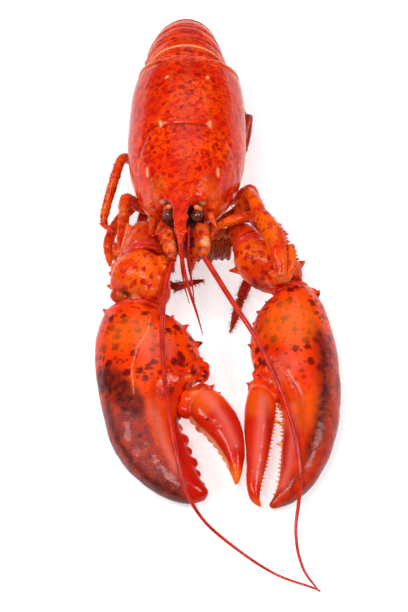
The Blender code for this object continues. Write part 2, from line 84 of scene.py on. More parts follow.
def buildStudio():
    scene = bpy.context.scene
    scene.view_settings.view_transform = "Standard"
    target = place(*view["aim"])
    rise, turn = math.radians(view["elevation"]), math.radians(view["azimuth"])
    back = Vector((math.sin(turn) * math.cos(rise), -math.cos(turn) * math.cos(rise), math.sin(rise)))
    camera = bpy.data.objects.new("camera", bpy.data.cameras.new("camera"))
    camera.data.lens = view["lens"]
    camera.data.clip_end = view["far"]
    scene.collection.objects.link(camera)
    aimAt(camera, target + back * view["distance"], target)
    scene.camera = camera

    for name, (spot, width, height, power, colour) in lamps.items():
        light = bpy.data.lights.new(name, "AREA")
        light.shape, light.size, light.size_y = "RECTANGLE", width, height
        light.energy, light.color = power, colour
        lamp = bpy.data.objects.new(name, light)
        scene.collection.objects.link(lamp)
        aimAt(lamp, place(*spot), target + lampAim)

    world = bpy.data.worlds.new("studio")  # pale walls under a dim ceiling
    world.use_nodes = True
    nodes, wires = world.node_tree.nodes, world.node_tree.links
    coords, parts, fade = (nodes.new(f"ShaderNode{kind}") for kind in ("TexCoord", "SeparateXYZ", "MapRange"))
    fade.interpolation_type = "SMOOTHSTEP"
    fill(fade, {"From Max": room["fade"], "To Min": room["horizon"], "To Max": room["ceiling"]})
    wires.new(coords.outputs["Generated"], parts.inputs[0])
    wires.new(parts.outputs["Z"], fade.inputs["Value"])
    wires.new(fade.outputs[0], nodes["Background"].inputs["Strength"])
    fill(nodes["Background"], {"Color": white})
    scene.world = world

    bpy.ops.object.select_all(action="DESELECT")
    bpy.ops.mesh.primitive_plane_add(size=paper["size"], location=(0, 0, paper["drop"]))
    floor = bpy.context.object
    floor.name = "floor"
    sheet = bpy.data.materials.new("paper")
    sheet.use_nodes = True
    fill(sheet.node_tree.nodes["Principled BSDF"], {
        "Base Color": paper["colour"], "Roughness": paper["rough"], "Emission Color": white,
        "Emission Strength": paper["glow"]})
    floor.data.materials.append(sheet)


buildStudio()
print("studio ready")


# shader sums

class Wire:
    def __init__(self, finish, socket):
        self.finish, self.socket = finish, socket

    def work(self, operation, a, b):
        return self.finish.node("ShaderNodeMath", {"operation": operation}, {0: a, 1: b})

    def __add__(self, other):
        return self.work("ADD", self, other)

    def __radd__(self, other):
        return self.work("ADD", other, self)

    def __sub__(self, other):
        return self.work("SUBTRACT", self, other)

    def __rsub__(self, other):
        return self.work("SUBTRACT", other, self)

    def __mul__(self, other):
        return self.work("MULTIPLY", self, other)

    def __rmul__(self, other):
        return self.work("MULTIPLY", other, self)

    def higher(self, other):
        return self.work("MAXIMUM", self, other)


class Finish:
    def __init__(self, name, coat=0.0, coatRough=0.1, shine=0.11):
        self.material = bpy.data.materials.new(name)
        self.material.use_nodes = True
        self.tree = self.material.node_tree
        self.shader = self.tree.nodes["Principled BSDF"]
        fill(self.shader, {"Specular IOR Level": shine, "Coat Weight": coat, "Coat Roughness": coatRough})
        self.where = self.node("ShaderNodeTexCoord", out="Object")

    def node(self, kind, settings=None, sockets=None, out=0):
        made = self.tree.nodes.new(kind)
        for key, value in (settings or {}).items():
            setattr(made, key, value)
        for key, value in (sockets or {}).items():
            self.join(value, made.inputs[key])
        return Wire(self, made.outputs[out])

    def join(self, value, socket):
        if isinstance(value, Wire):
            self.tree.links.new(value.socket, socket)
        elif isinstance(value, tuple) and socket.type == "RGBA":
            socket.default_value = (*value, 1)
        else:
            socket.default_value = value

    def noise(self, size, detail=2.0, twist=0.0, rough=0.5):  # size in mm
        return self.node("ShaderNodeTexNoise", None, {
            "Vector": self.where, "Scale": 1000 / size, "Detail": detail, "Distortion": twist,
            "Roughness": rough}, "Fac")

    def cells(self, size, feature="F1", spread=1.0):
        return self.node("ShaderNodeTexVoronoi", {"feature": feature}, {
            "Vector": self.where, "Scale": 1000 / size, "Randomness": spread}, "Distance")

    def painted(self, name):
        return self.node("ShaderNodeAttribute", {"attribute_name": name}, None, "Fac")

    def step(self, value, low, high):  # 0 below low, 1 above high, eased between
        return self.node("ShaderNodeMapRange", {"interpolation_type": "SMOOTHSTEP"}, {
            "Value": value, "From Min": low, "From Max": high})

    def mix(self, share, one, other, way="MIX"):
        return self.node("ShaderNodeMix", {"data_type": "RGBA", "blend_type": way}, {
            0: share, 6: one, 7: other}, 2)
    def patches(self, size, detail, low, high, one, other, twist=0.0):  # two tones in soft patches
        return self.mix(self.step(self.noise(size, detail, twist), low, high), one, other)

    def over(self, ground, *masks, **own):  # painted masks on top, each in its own tone
        for name in masks:
            ground = self.mix(self.painted(name), ground, own.get(name, tones[name]))
        return ground
    def bump(self, height, distance, strength=1.0, under=None):
        sockets = {"Height": height, "Distance": distance * mm, "Strength": strength}
        if under:
            sockets["Normal"] = under
        return self.node("ShaderNodeBump", None, sockets)

    def close(self, colour, rough, normal=None):
        self.join(colour, self.shader.inputs["Base Color"])
        self.join(rough, self.shader.inputs["Roughness"])
        if normal:
            self.join(normal, self.shader.inputs["Normal"])
        return self.material


tones = {  # the first three are grounds, the others belong to the masks of the same name
    "orange": (0.9, 0.062, 0.001),
    "flame": (0.78, 0.03, 0.0015),
    "deepRed": (0.32, 0.004, 0.002),
    "red": (0.56, 0.008, 0.002),
    # maroon: the shell's own dark patches and bands, and also painted shade in grooves, openings, hollows, on faces
    # turned down and on legs in shadow
    "dark": (0.085, 0.007, 0.006),
    # purple-brown, lightened and greyed to carry a painted sheen; along the carapace and tail midlines it is painted
    # sheen
    "plum": (0.3, 0.04, 0.034),
    "cream": (0.9, 0.48, 0.22),
    "pale": (0.9, 0.17, 0.012),
    # near black: the shell's own black specks, and painted shade in the eye sockets and under the front of the carapace
    "soot": (0.018, 0.008, 0.006),
    # pink painted sheen: a painted highlight along the fingers and on the claw tops
    "rosy": (0.8, 0.16, 0.12),
}


def shellFinish():  # the body's shell: flame red, thickly mottled
    paint = Finish("shell_glaze", 0.12)
    ground = paint.patches(16, 2, 0.42, 0.62, tones["orange"], tones["flame"])
    blotch = paint.step(paint.noise(3.0, 3, 0.8, 0.6), 0.46, 0.58)
    ground = paint.mix(blotch * 0.9, ground, tones["red"])
    fleck = paint.step(paint.cells(3.6) + paint.noise(1.4, 2) * 0.8, 0.86, 0.6)
    ground = paint.mix(fleck * paint.step(paint.noise(13, 1), 0.3, 0.6) * 0.95, ground, tones["deepRed"])
    ground = paint.over(ground, "red", "pale", "plum", "dark", "cream", "soot")
    grain = paint.bump(paint.noise(0.7, 2), 0.12, 0.5)
    pores = paint.bump(paint.step(paint.cells(1.5), 0.0, 0.5), 0.12, 0.4, grain)
    return paint.close(ground, paint.noise(3, 2) * 0.16 + 0.1, pores)


def clawFinish():  # the claws: bright orange with maroon spots, dark and wrinkled where the masks say
    paint = Finish("claw_glaze", 0.2, 0.14)
    ground = paint.over(paint.patches(14, 2, 0.4, 0.62, tones["orange"], tones["flame"]), "red")
    spots = paint.step(paint.cells(5.4) + paint.noise(2.0, 3) * 0.7, 0.84, 0.56)
    small = paint.step(paint.cells(3.1) + paint.noise(1.3, 2) * 0.5, 0.58, 0.38)
    ground = paint.mix(spots.higher(small * 0.85) * paint.painted("spotted"), ground, (0.2, 0.005, 0.003))
    ground = paint.over(ground, "pale")
    streaks = paint.step(paint.noise(3.4, 4, 0.3), 0.36, 0.62)
    ground = paint.mix(paint.painted("plum") * (0.6 + 0.4 * streaks), ground, tones["plum"])
    ground = paint.mix(paint.painted("dark") * (0.72 + 0.28 * streaks), ground, tones["dark"])
    ground = paint.over(ground, "rosy", "cream", "soot")
    grain = paint.bump(paint.noise(0.8, 2), 0.1, 0.4)
    folds = (paint.cells(1.1, "SMOOTH_F1") + paint.noise(1.7, 3, 1.5)) * paint.painted("wrinkled")
    swells = paint.bump(paint.noise(3.2, 3), 0.35, 0.35, paint.bump(folds, 0.45, 0.95, grain))
    return paint.close(ground, paint.noise(4, 2) * 0.18 + 0.1, swells)


def limbFinish():  # the limbs: orange with red blotches and dark dots
    paint = Finish("limb_glaze", 0.12, 0.14)
    ground = paint.patches(9, 2, 0.4, 0.65, (0.84, 0.108, 0.004), (0.74, 0.038, 0.001))
    blotch = paint.step(paint.cells(4.2) + paint.noise(1.8, 3) * 0.8, 0.86, 0.64)
    ground = paint.mix(blotch * paint.painted("spotted") * 0.92, ground, (0.5, 0.006, 0.002))
    dots = paint.step(paint.cells(2.3) + paint.noise(1, 1) * 0.2, 0.3, 0.22)
    ground = paint.mix(dots * 0.9, ground, (0.14, 0.008, 0.004))
    ground = paint.over(ground, "red", "plum", "dark", "cream", "soot", plum=(0.5, 0.12, 0.06))
    grain = paint.bump(paint.noise(0.7, 2), 0.15, 0.5)
    swells = paint.bump(paint.noise(2.4, 3), 0.5, 0.55, grain)
    return paint.close(ground, paint.noise(2.5, 2) * 0.18 + 0.14, swells)


def eyeFinish():  # brown, with facets
    paint = Finish("eye_glaze", 0.4, 0.05, 0.3)
    ground = paint.patches(1.6, 2, 0.4, 0.7, (0.07, 0.012, 0.008), (0.24, 0.045, 0.022))
    return paint.close(ground, paint.noise(1, 1) * 0.1 + 0.14, paint.bump(paint.cells(0.35), 0.05, 0.3))


def plainFinish(name, coat, patches, rough, grain=None, **masks):  # two soft tones and one grain
    paint = Finish(name, coat)
    ground = paint.over(paint.patches(*patches), *masks, **masks)
    size, detail, gain, least = rough
    bump = paint.bump(paint.noise(*grain[:2]), *grain[2:]) if grain else None
    return paint.close(ground, paint.noise(size, detail) * gain + least, bump)


shellGlaze, clawGlaze, limbGlaze, eyeGlaze = shellFinish(), clawFinish(), limbFinish(), eyeFinish()
feelerGlaze = plainFinish(
    "feeler_glaze", 0.3, (6, 3, 0.4, 0.65, (0.62, 0.022, 0.006), (0.42, 0.008, 0.004)), (2, 1, 0.14, 0.24),
    (0.5, 1, 0.1, 0.4), pale=tones["pale"])
jointSkin = plainFinish(
    "joint_skin", 0.2, (3, 3, 0.35, 0.7, (0.6, 0.014, 0.005), (0.72, 0.06, 0.022), 0.5), (2, 2, 0.15, 0.22),
    (1.2, 3, 0.3, 0.5), cream=tones["cream"], dark=(0.06, 0.018, 0.01))
toothGlaze = plainFinish(
    "tooth_glaze", 0.3, (2.2, 2, 0.4, 0.62, (0.86, 0.2, 0.02), (0.88, 0.46, 0.16)), (2, 1, 0.1, 0.2),
    (0.6, 1, 0.08, 0.3))
bristleGlaze = plainFinish(
    "bristle", 0.0, (5, 2, 0.35, 0.65, (0.32, 0.05, 0.012), (0.1, 0.018, 0.008)), (3, 1, 0.2, 0.42))
print("finishes ready")


# ways of modelling

def choose(*pieces):
    bpy.ops.object.select_all(action="DESELECT")
    for piece in pieces:
        piece.select_set(True)
    bpy.context.view_layer.objects.active = pieces[0]
    return pieces[0]


def applied(piece, kind, **settings):
    choose(piece)
    modifier = piece.modifiers.new(kind.title(), kind)
    for key, value in settings.items():
        setattr(modifier, key, value)
    bpy.ops.object.modifier_apply(modifier=modifier.name)
    return piece


mergeGap, sharpAngle = 0.00002, math.radians(62)


def workingCopy(node, name, levels=2, swell=0.0):  # a CAD node's mesh, merged, in quads and rounded
    piece = bpy.data.objects.new(name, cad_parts[node].data.copy())
    bpy.context.scene.collection.objects.link(piece)
    piece.data.materials.clear()
    choose(piece)
    bpy.ops.object.mode_set(mode="EDIT")
    bpy.ops.mesh.select_all(action="SELECT")
    bpy.ops.mesh.customdata_custom_splitnormals_clear()
    bpy.ops.mesh.remove_doubles(threshold=mergeGap)
    bpy.ops.mesh.tris_convert_to_quads()
    bpy.ops.mesh.select_mode(type="EDGE")  # the flat ends are creased, so they stay where they are
    bpy.ops.mesh.select_all(action="DESELECT")
    bpy.ops.mesh.edges_select_sharp(sharpness=sharpAngle)
    bpy.ops.transform.edge_crease(value=1)
    bpy.ops.object.mode_set(mode="OBJECT")
    applied(piece, "SUBSURF", levels=levels, render_levels=levels)
    if swell:
        pushed(piece, np.full(len(piece.data.vertices), swell))
    return piece


def welded(piece, extras, voxel=0.6, passes=3):  # one skin over the piece and what is added to it
    choose(piece, *extras)
    bpy.ops.object.join()
    applied(piece, "REMESH", mode="VOXEL", voxel_size=voxel * mm)
    applied(piece, "SMOOTH", factor=0.5, iterations=passes)
    return piece


def roughened(piece, size, strength):  # soft lumps of this size, in mm
    clouds = bpy.data.textures.new("lumps", "CLOUDS")
    clouds.noise_scale = size * mm
    return applied(piece, "DISPLACE", texture=clouds, texture_coords="LOCAL", strength=strength * mm, mid_level=0.5)


def settled(stretch=(1, 1, 1)):  # the newest primitive, with its stretch and its place put into its mesh
    made = choose(bpy.context.object)
    made.scale = stretch
    bpy.ops.object.transform_apply(location=True, rotation=True, scale=True)
    return made


def turnTo(aim):  # the rotation that lays +Z along an aim
    return aim.to_track_quat("Z", "Y").to_euler()


def spike(at, aim, radius, length, tip=0.12, flat=1.0, sides=10):  # a thorn with its base at a place
    aim = Vector(aim).normalized()
    bpy.ops.mesh.primitive_cone_add(
        vertices=sides, radius1=radius * mm, radius2=radius * mm * tip, depth=length * mm,
        location=place(*at) + aim * (length * mm / 2), rotation=turnTo(aim))
    if flat != 1.0:
        bpy.ops.object.mode_set(mode="EDIT")
        bpy.ops.transform.resize(value=(flat, 1, 1), center_override=bpy.context.object.location)
        bpy.ops.object.mode_set(mode="OBJECT")
    return settled()


def knob(at, radius, stretch=(1, 1, 1)):  # a rounded lump
    bpy.ops.mesh.primitive_ico_sphere_add(subdivisions=3, radius=radius * mm, location=place(*at))
    return settled(stretch)


def cuff(at, aim, radius, thick, stretch=(1, 1, 1)):  # a ring of skin round a joint
    bpy.ops.mesh.primitive_torus_add(
        major_segments=40, minor_segments=10, major_radius=radius * mm, minor_radius=thick * mm,
        location=place(*at), rotation=turnTo(Vector(aim)))
    return settled(stretch)


def listOf(group, key):
    flat = np.empty(len(group) * 3)
    group.foreach_get(key, flat)
    return flat.reshape(-1, 3)


def pointsOf(piece):  # in mm from the middle
    return (listOf(piece.data.vertices, "co") - np.array(middle)) * 1000


def normalsOf(piece):
    return listOf(piece.data.vertex_normals, "vector")


def boxOf(node):  # a CAD node's low and high corners, in mm from the middle
    return (np.array(corner) * 1000 - np.array(middle) * 1000 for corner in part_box(node))


def moved(piece, points):
    piece.data.vertices.foreach_set("co", (points / 1000 + np.array(middle)).ravel())
    piece.data.update()


def pushed(piece, amount):  # each point out along its normal, in mm
    moved(piece, pointsOf(piece) + normalsOf(piece) * amount[:, None])


def marked(piece, **masks):  # masks for the finish: a value for each point, or one for all
    for name, values in masks.items():
        layer = piece.data.attributes.new(name, "FLOAT", "POINT")
        values = np.broadcast_to(values, len(piece.data.vertices))
        layer.data.foreach_set("value", np.clip(values, 0, 1).astype(np.float32))
    return piece


def ease(values, low, high):
    share = np.clip((values - low) / (high - low), 0, 1)
    return share * share * (3 - 2 * share)


def gapTo(points, path):  # from each point to the nearest place on a path, in plan if the path is in plan
    nearest = np.full(len(points), 1e9)
    for a, b in zip(path, path[1:]):
        a, b = np.array(a, float), np.array(b, float)
        along = b - a
        offset = points[:, :len(a)] - a
        share = np.clip(offset @ along / (along @ along), 0, 1)
        nearest = np.minimum(nearest, np.linalg.norm(offset - share[:, None] * along, axis=1))
    return nearest


def bell(gap, width):
    return np.exp(-(gap / width) ** 2)

def line(points, path, width):  # a soft mask along a path
    return bell(gapTo(points, path), width)
def blob(points, centre, radius):  # a soft round mask
    centre = np.array(centre, float)
    return 1 - ease(np.linalg.norm(points[:, :len(centre)] - centre, axis=1), radius * 0.6, radius * 1.25)


def strewn(name, model, spots):  # one mesh of many copies of a model that stands on +Z
    shape = np.array([v.co[:] for v in model.data.vertices])
    faces = [tuple(face.vertices) for face in model.data.polygons]
    points, corners = [], []
    for at, aim, thick, long in spots:
        turn = np.array(Vector(aim).to_track_quat("Z", "Y").to_matrix())
        start = len(points) * len(shape)
        points.append(shape * (thick * mm, thick * mm, long * mm) @ turn.T + np.array(place(*at)))
        corners += [tuple(k + start for k in face) for face in faces]
    mesh = bpy.data.meshes.new(name)
    mesh.from_pydata(np.vstack(points).tolist(), [], corners)
    piece = bpy.data.objects.new(name, mesh)
    bpy.context.scene.collection.objects.link(piece)
    return piece


def drawnOut(sides, steps):  # a small model on +Z, 1 wide and 1 long: a disc drawn out by each shift and size
    bpy.ops.mesh.primitive_circle_add(vertices=sides, radius=1, fill_type="NGON")
    bpy.ops.object.mode_set(mode="EDIT")
    for shift, size in steps:
        bpy.ops.mesh.extrude_region_move(TRANSFORM_OT_translate={"value": shift})
        bpy.ops.transform.resize(value=(size, size, 1))
    bpy.ops.mesh.select_all(action="SELECT")
    bpy.ops.mesh.normals_make_consistent(inside=False)
    bpy.ops.object.mode_set(mode="OBJECT")
    return bpy.context.object


bristleModel = drawnOut(4, [((0, 0, 0.55), 0.7), ((0.8, 0, 0.45), 0.15)])  # bent over a little
thornModel = drawnOut(7, [((0, 0, 0.3), 0.8), ((0, 0, 0.35), 0.55), ((0, 0, 0.35), 0.12)])
lowest = 0.02  # mm above the table; nothing dips below it


def finished(piece, material, slot, *nodes, smooth=True):
    piece.data.materials.clear()
    piece.data.materials.append(material)
    if smooth:
        choose(piece)
        bpy.ops.object.shade_smooth()
    points = pointsOf(piece)
    points[:, 2] = np.maximum(points[:, 2], lowest)
    moved(piece, points)
    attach(piece, "root")
    if nodes:
        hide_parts(*nodes)


# the carapace

carapace = {
    "groove": [(-13, -14.3, 63), (-7, -14.6, 64.5), (0, -14.8, 65.2), (6.4, -14.6, 64.5), (11.7, -14, 63.3)],
    "grooveSides": [
        [(-13, -14.3, 63), (-18.1, -15.5, 60.1), (-21.1, -22.8, 55.9), (-23.8, -29.1, 49.1), (-23.1, -37.3, 41)],
        [(11.7, -14, 63.3), (17.1, -15, 60.3), (21.6, -20.7, 55.4), (24.8, -26.4, 48.3), (24.6, -33.3, 38.7)]],
    "midline": [(-1.6, 34), (-0.7, 4), (-0.3, -20), (0, -44)],
    "ridges": [[(-6.4, -47, 57.6), (-5.2, -52, 56.4), (-3.9, -58, 55), (-2.9, -70, 53)],
               [(5.8, -47, 57.6), (4.4, -52, 56.4), (2.6, -58, 55), (1.9, -70, 53)]],
    "lowerEdge": ([-54, -50.8, -45.5, -36, -24, -10, 4, 18, 30, 35, 40],
                  [44, 32, 24.5, 19, 15, 14.5, 15.5, 18, 23, 27, 28]),
    "creamMarks": [[(-18.1, -35.6, 54.2), (-17.9, -38.4, 53)], [(16, -36, 56.2), (16.2, -38.7, 54.7)],
                   [(-12.9, -12.6, 63.1), (-12.5, -15, 63)], [(11.2, -12.2, 63.6), (11.6, -15, 63.3)],
                   [(-11.4, 16.9, 64), (-11, 17.4, 64)], [(8.8, 17.4, 64.2), (9.1, 17.9, 64.2)]],
    "arcs": [[(-5.6, 8), (-8.7, 0.4), (-11.8, -5.6), (-13.4, -12)], [(7, 8), (9.3, -1.8), (11.1, -11.1)],
             [(-8.5, 20), (-9.5, 8)], [(8.6, 20), (9.3, 8)]],
    "eyeSockets": [(-6.6, -54.6, 46.5), (6.4, -54.6, 46.5)],
    "spineRoots": [(-9.3, -52.2, 50.6), (8.8, -52.2, 50.6)],
    "thorns": [  # place, aim, radius, length
        ((-2.4, -70.6, 51.2), (-0.55, -1, 0.5), 1.0, 3.2), ((1.9, -70.6, 51.2), (0.5, -1, 0.5), 1.0, 3.2),
        ((-3.2, -63.5, 52.6), (-0.7, -1, 0.6), 0.9, 2.4), ((2.3, -63.5, 52.6), (0.7, -1, 0.6), 0.9, 2.4),
        ((-10.6, -52.2, 53.4), (-0.1, -1, 0.4), 1.4, 4.2), ((9.8, -52.2, 53.4), (0.1, -1, 0.4), 1.4, 4.2),
        ((-15.2, -50.5, 46), (-0.1, -1, 0.1), 1.5, 3.8), ((14.6, -50.5, 46), (0.1, -1, 0.1), 1.5, 3.8)],
}


def granules(x, y):  # in rows on the snout
    rows = np.sin(x * 3.4) * np.sin(y * 3.1 + np.sign(x) * 0.8)
    return 0.3 * ease(rows, 0.1, 0.9) * ease(-y, 46, 54) * ease(bell(x + 0.3, 3.2 + 0.14 * (70 + y)), 0.2, 0.5)


def either(points, centres, radius):
    return np.max([blob(points, centre, radius) for centre in centres], axis=0)


def buildCarapace():
    shell = workingCopy("carapace", "carapace_shell")
    welded(shell, [spike(*thorn) for thorn in carapace["thorns"]], 0.62, 4)
    roughened(shell, 9, 0.5)
    points, normals = pointsOf(shell), normalsOf(shell)
    x, y, z = points.T
    up = ease(normals[:, 2], -0.1, 0.3)
    groove = gapTo(points, carapace["groove"])
    sides = np.min([gapTo(points, path) for path in carapace["grooveSides"]], axis=0)
    rearEdge = 35 + 4.5 * (1 - np.clip((z - 41.5) / 20, 0, 1))
    rim = rearEdge - y
    height = z - np.interp(y, *carapace["lowerEdge"])
    outward = ease(np.abs(normals[:, 0]), 0.3, 0.6)
    ridge = sum(line(points, path, 1.1) for path in carapace["ridges"])
    push = -0.85 * bell(groove, 0.75) - 0.3 * bell(sides, 1.5)
    push += 0.25 * bell(groove - 3.5, 2.2) * (y > -16)
    push += up * (0.3 * ease(3.4 - rim, 0, 0.8) - 0.5 * bell(rim - 3.8, 0.7))
    push += outward * (0.4 * bell(height - 1.2, 1.3) - 0.35 * bell(height - 3.6, 1.0))
    push += 0.45 * ridge * ease(-y, 44, 52) - 0.4 * bell(x + 0.6, 1.5) * ease(-y, 52, 60) * up
    push += granules(x, y) * up - 0.22 * line(points, carapace["midline"], 0.6) * up
    pushed(shell, push)
    roughened(shell, 2.6, 0.14)

    front = ease(-y, 34, 48)
    eyes = either(points, carapace["eyeSockets"], 5.2)
    marks = sum(line(points, path, 0.75) for path in carapace["creamMarks"])
    mouth = ease(normals[:, 1], 0.45, 0.75) * (y > 30)  # the open rear end, under the rim
    # painted shade: dark in the grooves and behind the rear rim, dark and red inside the open rear end, and near black
    # in the eye sockets; the plum along the midline is painted sheen
    marked(
        shell,
        cream=marks * 0.9 + 0.75 * bell(rim - 0.2, 0.5) * up * (1 - mouth)
            + 0.5 * either(points, carapace["spineRoots"], 2.0),
        dark=0.85 * bell(groove, 0.5) + 0.35 * bell(sides, 0.7) + 0.6 * bell(rim - 3.8, 0.4) * up + 0.55 * mouth,
        plum=0.28 * line(points, carapace["midline"], 2.6) * up,
        pale=0.22 * sum(line(points, path, 0.9) for path in carapace["arcs"]) * up
            + 0.45 * ease(16 - height, 0, 14) * (y > -40)
            + 0.3 * front * either(points, [(-14, -46), (13.4, -46)], 6)
            + 0.4 * ease(y, 26, 33) * ease(np.abs(x), 15, 21),
        red=0.4 * bell(x + 0.2, 6.5) * ease(-y, 40, 50)
            + 0.35 * ease(y, -12, 2) * ease(np.abs(x), 8, 18) * (1 - ease(y, 26, 34)) + 0.8 * mouth,
        soot=0.9 * eyes * ease(-y, 52.6, 53.8) * (z < 52))
    return finished(shell, shellGlaze, "shell_red", "carapace")


buildCarapace()
print("carapace ready")


# the tail

tail = {
    "joints": [  # back y, back z, belly y, belly z, half width, lean of the back, lean of the belly
        (35.4, 60.8, 42.6, 32.0, 20.0, -1.8, -2.0), (43.5, 60.4, 46.5, 31.5, 20.6, -1.8, -2.8),
        (55.5, 57.4, 51.0, 30.0, 20.6, -1.8, -4.2), (68.5, 52.4, 55.5, 28.0, 19.6, -1.8, -5.4),
        (80.0, 45.2, 59.5, 25.0, 18.2, -2.0, -6.2), (88.0, 32.0, 62.5, 21.0, 17.0, -2.8, -6.0),
        (85.0, 16.0, 64.5, 14.0, 14.5, -3.5, -5.0)],
    "rim": 0.5, "tuck": 0.7, "flap": 8.0,
    "folded": {"uropod_outer_right": 5.5, "uropod_inner_right": 2.0},  # mm in at the tip
}


def gapToPlane(points, joint, toward):  # how far beyond a joint's plane, towards the tail fan
    backY, backZ, bellyY, bellyZ = joint[:4]
    across = np.array([0, -(bellyZ - backZ), bellyY - backY])
    across /= np.linalg.norm(across)
    if across @ (0, *toward) < 0:
        across = -across
    return (points - (0, backY, backZ)) @ across, across


def buildTail():
    joints = tail["joints"]
    for i, (fore, aft) in enumerate(zip(joints, joints[1:])):
        number = i + 1
        ring = workingCopy(f"tail_segment_{number}", f"tail_ring_{number}", 2)
        flaps = []
        if i:
            low = Vector((0, (fore[2] + aft[2]) / 2, (fore[3] + aft[3]) / 2))
            high = Vector((0, (fore[0] + aft[0]) / 2, (fore[1] + aft[1]) / 2))
            down = (low - high).normalized()
            wide, lean = (fore[4] + aft[4]) / 2, (fore[6] + aft[6]) / 2
            long = tail["flap"] * (1.15 if i == 1 else 0.95)
            for side in (-1, 1):
                root = low - down * 7
                flaps.append(spike(
                    (lean + side * (wide - 1.6), root.y, root.z), (side * 0.12, down.y - 0.1, down.z - 0.25),
                    4.3, long + 3, 0.16, 0.42, 14))
        welded(ring, flaps, 0.55, 3)
        points, normals = pointsOf(ring), normalsOf(ring)
        toward = (aft[0] - fore[0], aft[1] - fore[1])
        past, across = gapToPlane(points, fore, toward)
        left, _ = gapToPlane(points, aft, toward)
        left = -left
        skin = 1 - ease(np.abs(normals @ across), 0.5, 0.85)
        push = skin * (tail["rim"] * ease(2.6 - left, 0, 0.9) - 0.35 * bell(left - 3.2, 0.7)
                       - tail["tuck"] * ease(2.4 - past, 0, 2.2))
        pushed(ring, push)
        roughened(ring, 2.4, 0.16)
        top = ease(normals[:, 2] + 0.5 * normals[:, 1], 0.1, 0.6)
        # painted shade: darker in the groove before the rim and where the ring tucks under the one ahead; the plum
        # along the top midline is painted sheen
        marked(
            ring, cream=0.3 * bell(left - 0.1, 0.4) + (0.7 * bell(past - 1.0, 0.7) * top if i == 1 else 0),
            dark=0.5 * bell(left - 3.2, 0.45) * skin + 0.35 * bell(past - 0.1, 0.6),
            pale=0.15 * bell(left - 1.4, 0.9) + 0.4 * ease(np.abs(points[:, 0] + 2), 15, 20),
            plum=0.25 * bell(points[:, 0] + 1.8, 3.0) * top)
        finished(ring, shellGlaze, "shell_red", f"tail_segment_{number}")


def buildFan():
    fringe = []
    for node in ("telson", "uropod_inner_left", "uropod_outer_left", "uropod_inner_right", "uropod_outer_right"):
        blade = workingCopy(node, f"{node}_blade", 3)
        points, normals = pointsOf(blade), normalsOf(blade)
        low, high = points.min(0), points.max(0)
        root = np.array([np.median(points[points[:, 1] > high[1] - 2][:, 0]), high[1], 0])
        tip = np.array([np.median(points[points[:, 1] < low[1] + 2][:, 0]), low[1], 0])
        along = (tip - root)[:2] / np.linalg.norm((tip - root)[:2])
        across = (points[:, :2] - root[:2]) @ (-along[1], along[0])
        far = (points[:, :2] - root[:2]) @ along
        ribs = 0.3 * bell(across, 0.9) + 0.18 * bell(np.abs(across) - 3.2, 0.7)
        points[:, 0] += tail["folded"].get(node, 0) * ease(far, 4, far.max())
        moved(blade, points)
        pushed(blade, ribs * ease(normals[:, 2], 0.4, 0.8) * ease(far, 2, 8))
        marked(blade, pale=0.6 * ease(far, far.max() - 8, far.max()), cream=0.3 * ease(far, far.max() - 3, far.max()))
        finished(blade, shellGlaze, "shell_red", node)
        for k in np.where(far > far.max() - 4.5)[0][::5]:
            aim = (along[0] + dice.uniform(-0.25, 0.25), along[1], dice.uniform(-0.02, 0.12))
            fringe.append((tuple(points[k] + (0, 0, 0.1)), aim, 0.11, dice.uniform(2.2, 3.6)))
    finished(strewn("fan_fringe", bristleModel, fringe), bristleGlaze, "limb_orange", smooth=False)


def buildTailSkins():  # the soft skin in front of the first ring, and the root of the fan
    low, high = boxOf("tail_segment_1")
    waist = (low[0] + high[0]) / 2, 38.6, (low[2] + high[2]) / 2 - 1.4
    wide = (high[0] - low[0]) * 0.44
    low, high = boxOf("telson")
    root = (low[0] + high[0]) / 2, high[1] - 5.0, 5.6
    skins = {  # place, radius, stretch, lumps, masks
        "tail_waist_skin": (waist, wide, (1, 0.33, 0.7), (3, 0.3), {"dark": 0.55}),
        "tail_flesh_bit": ((16.4, 36.0, 53.4), 1.3, (1.8, 0.8, 0.7), (1.2, 0.4), {"cream": 1}),
        "fan_root_skin": (root, 8.0, (1.5, 0.55, 0.55), (3, 0.4), {"dark": 0.3}),
    }
    for name, (at, radius, stretch, lumps, masks) in skins.items():
        skin = roughened(knob(at, radius, stretch), *lumps)
        skin.name = name
        marked(skin, **masks)
        finished(skin, jointSkin, "shell_red")


buildTail()
buildTailSkins()
buildFan()
print("tail ready")


# the head

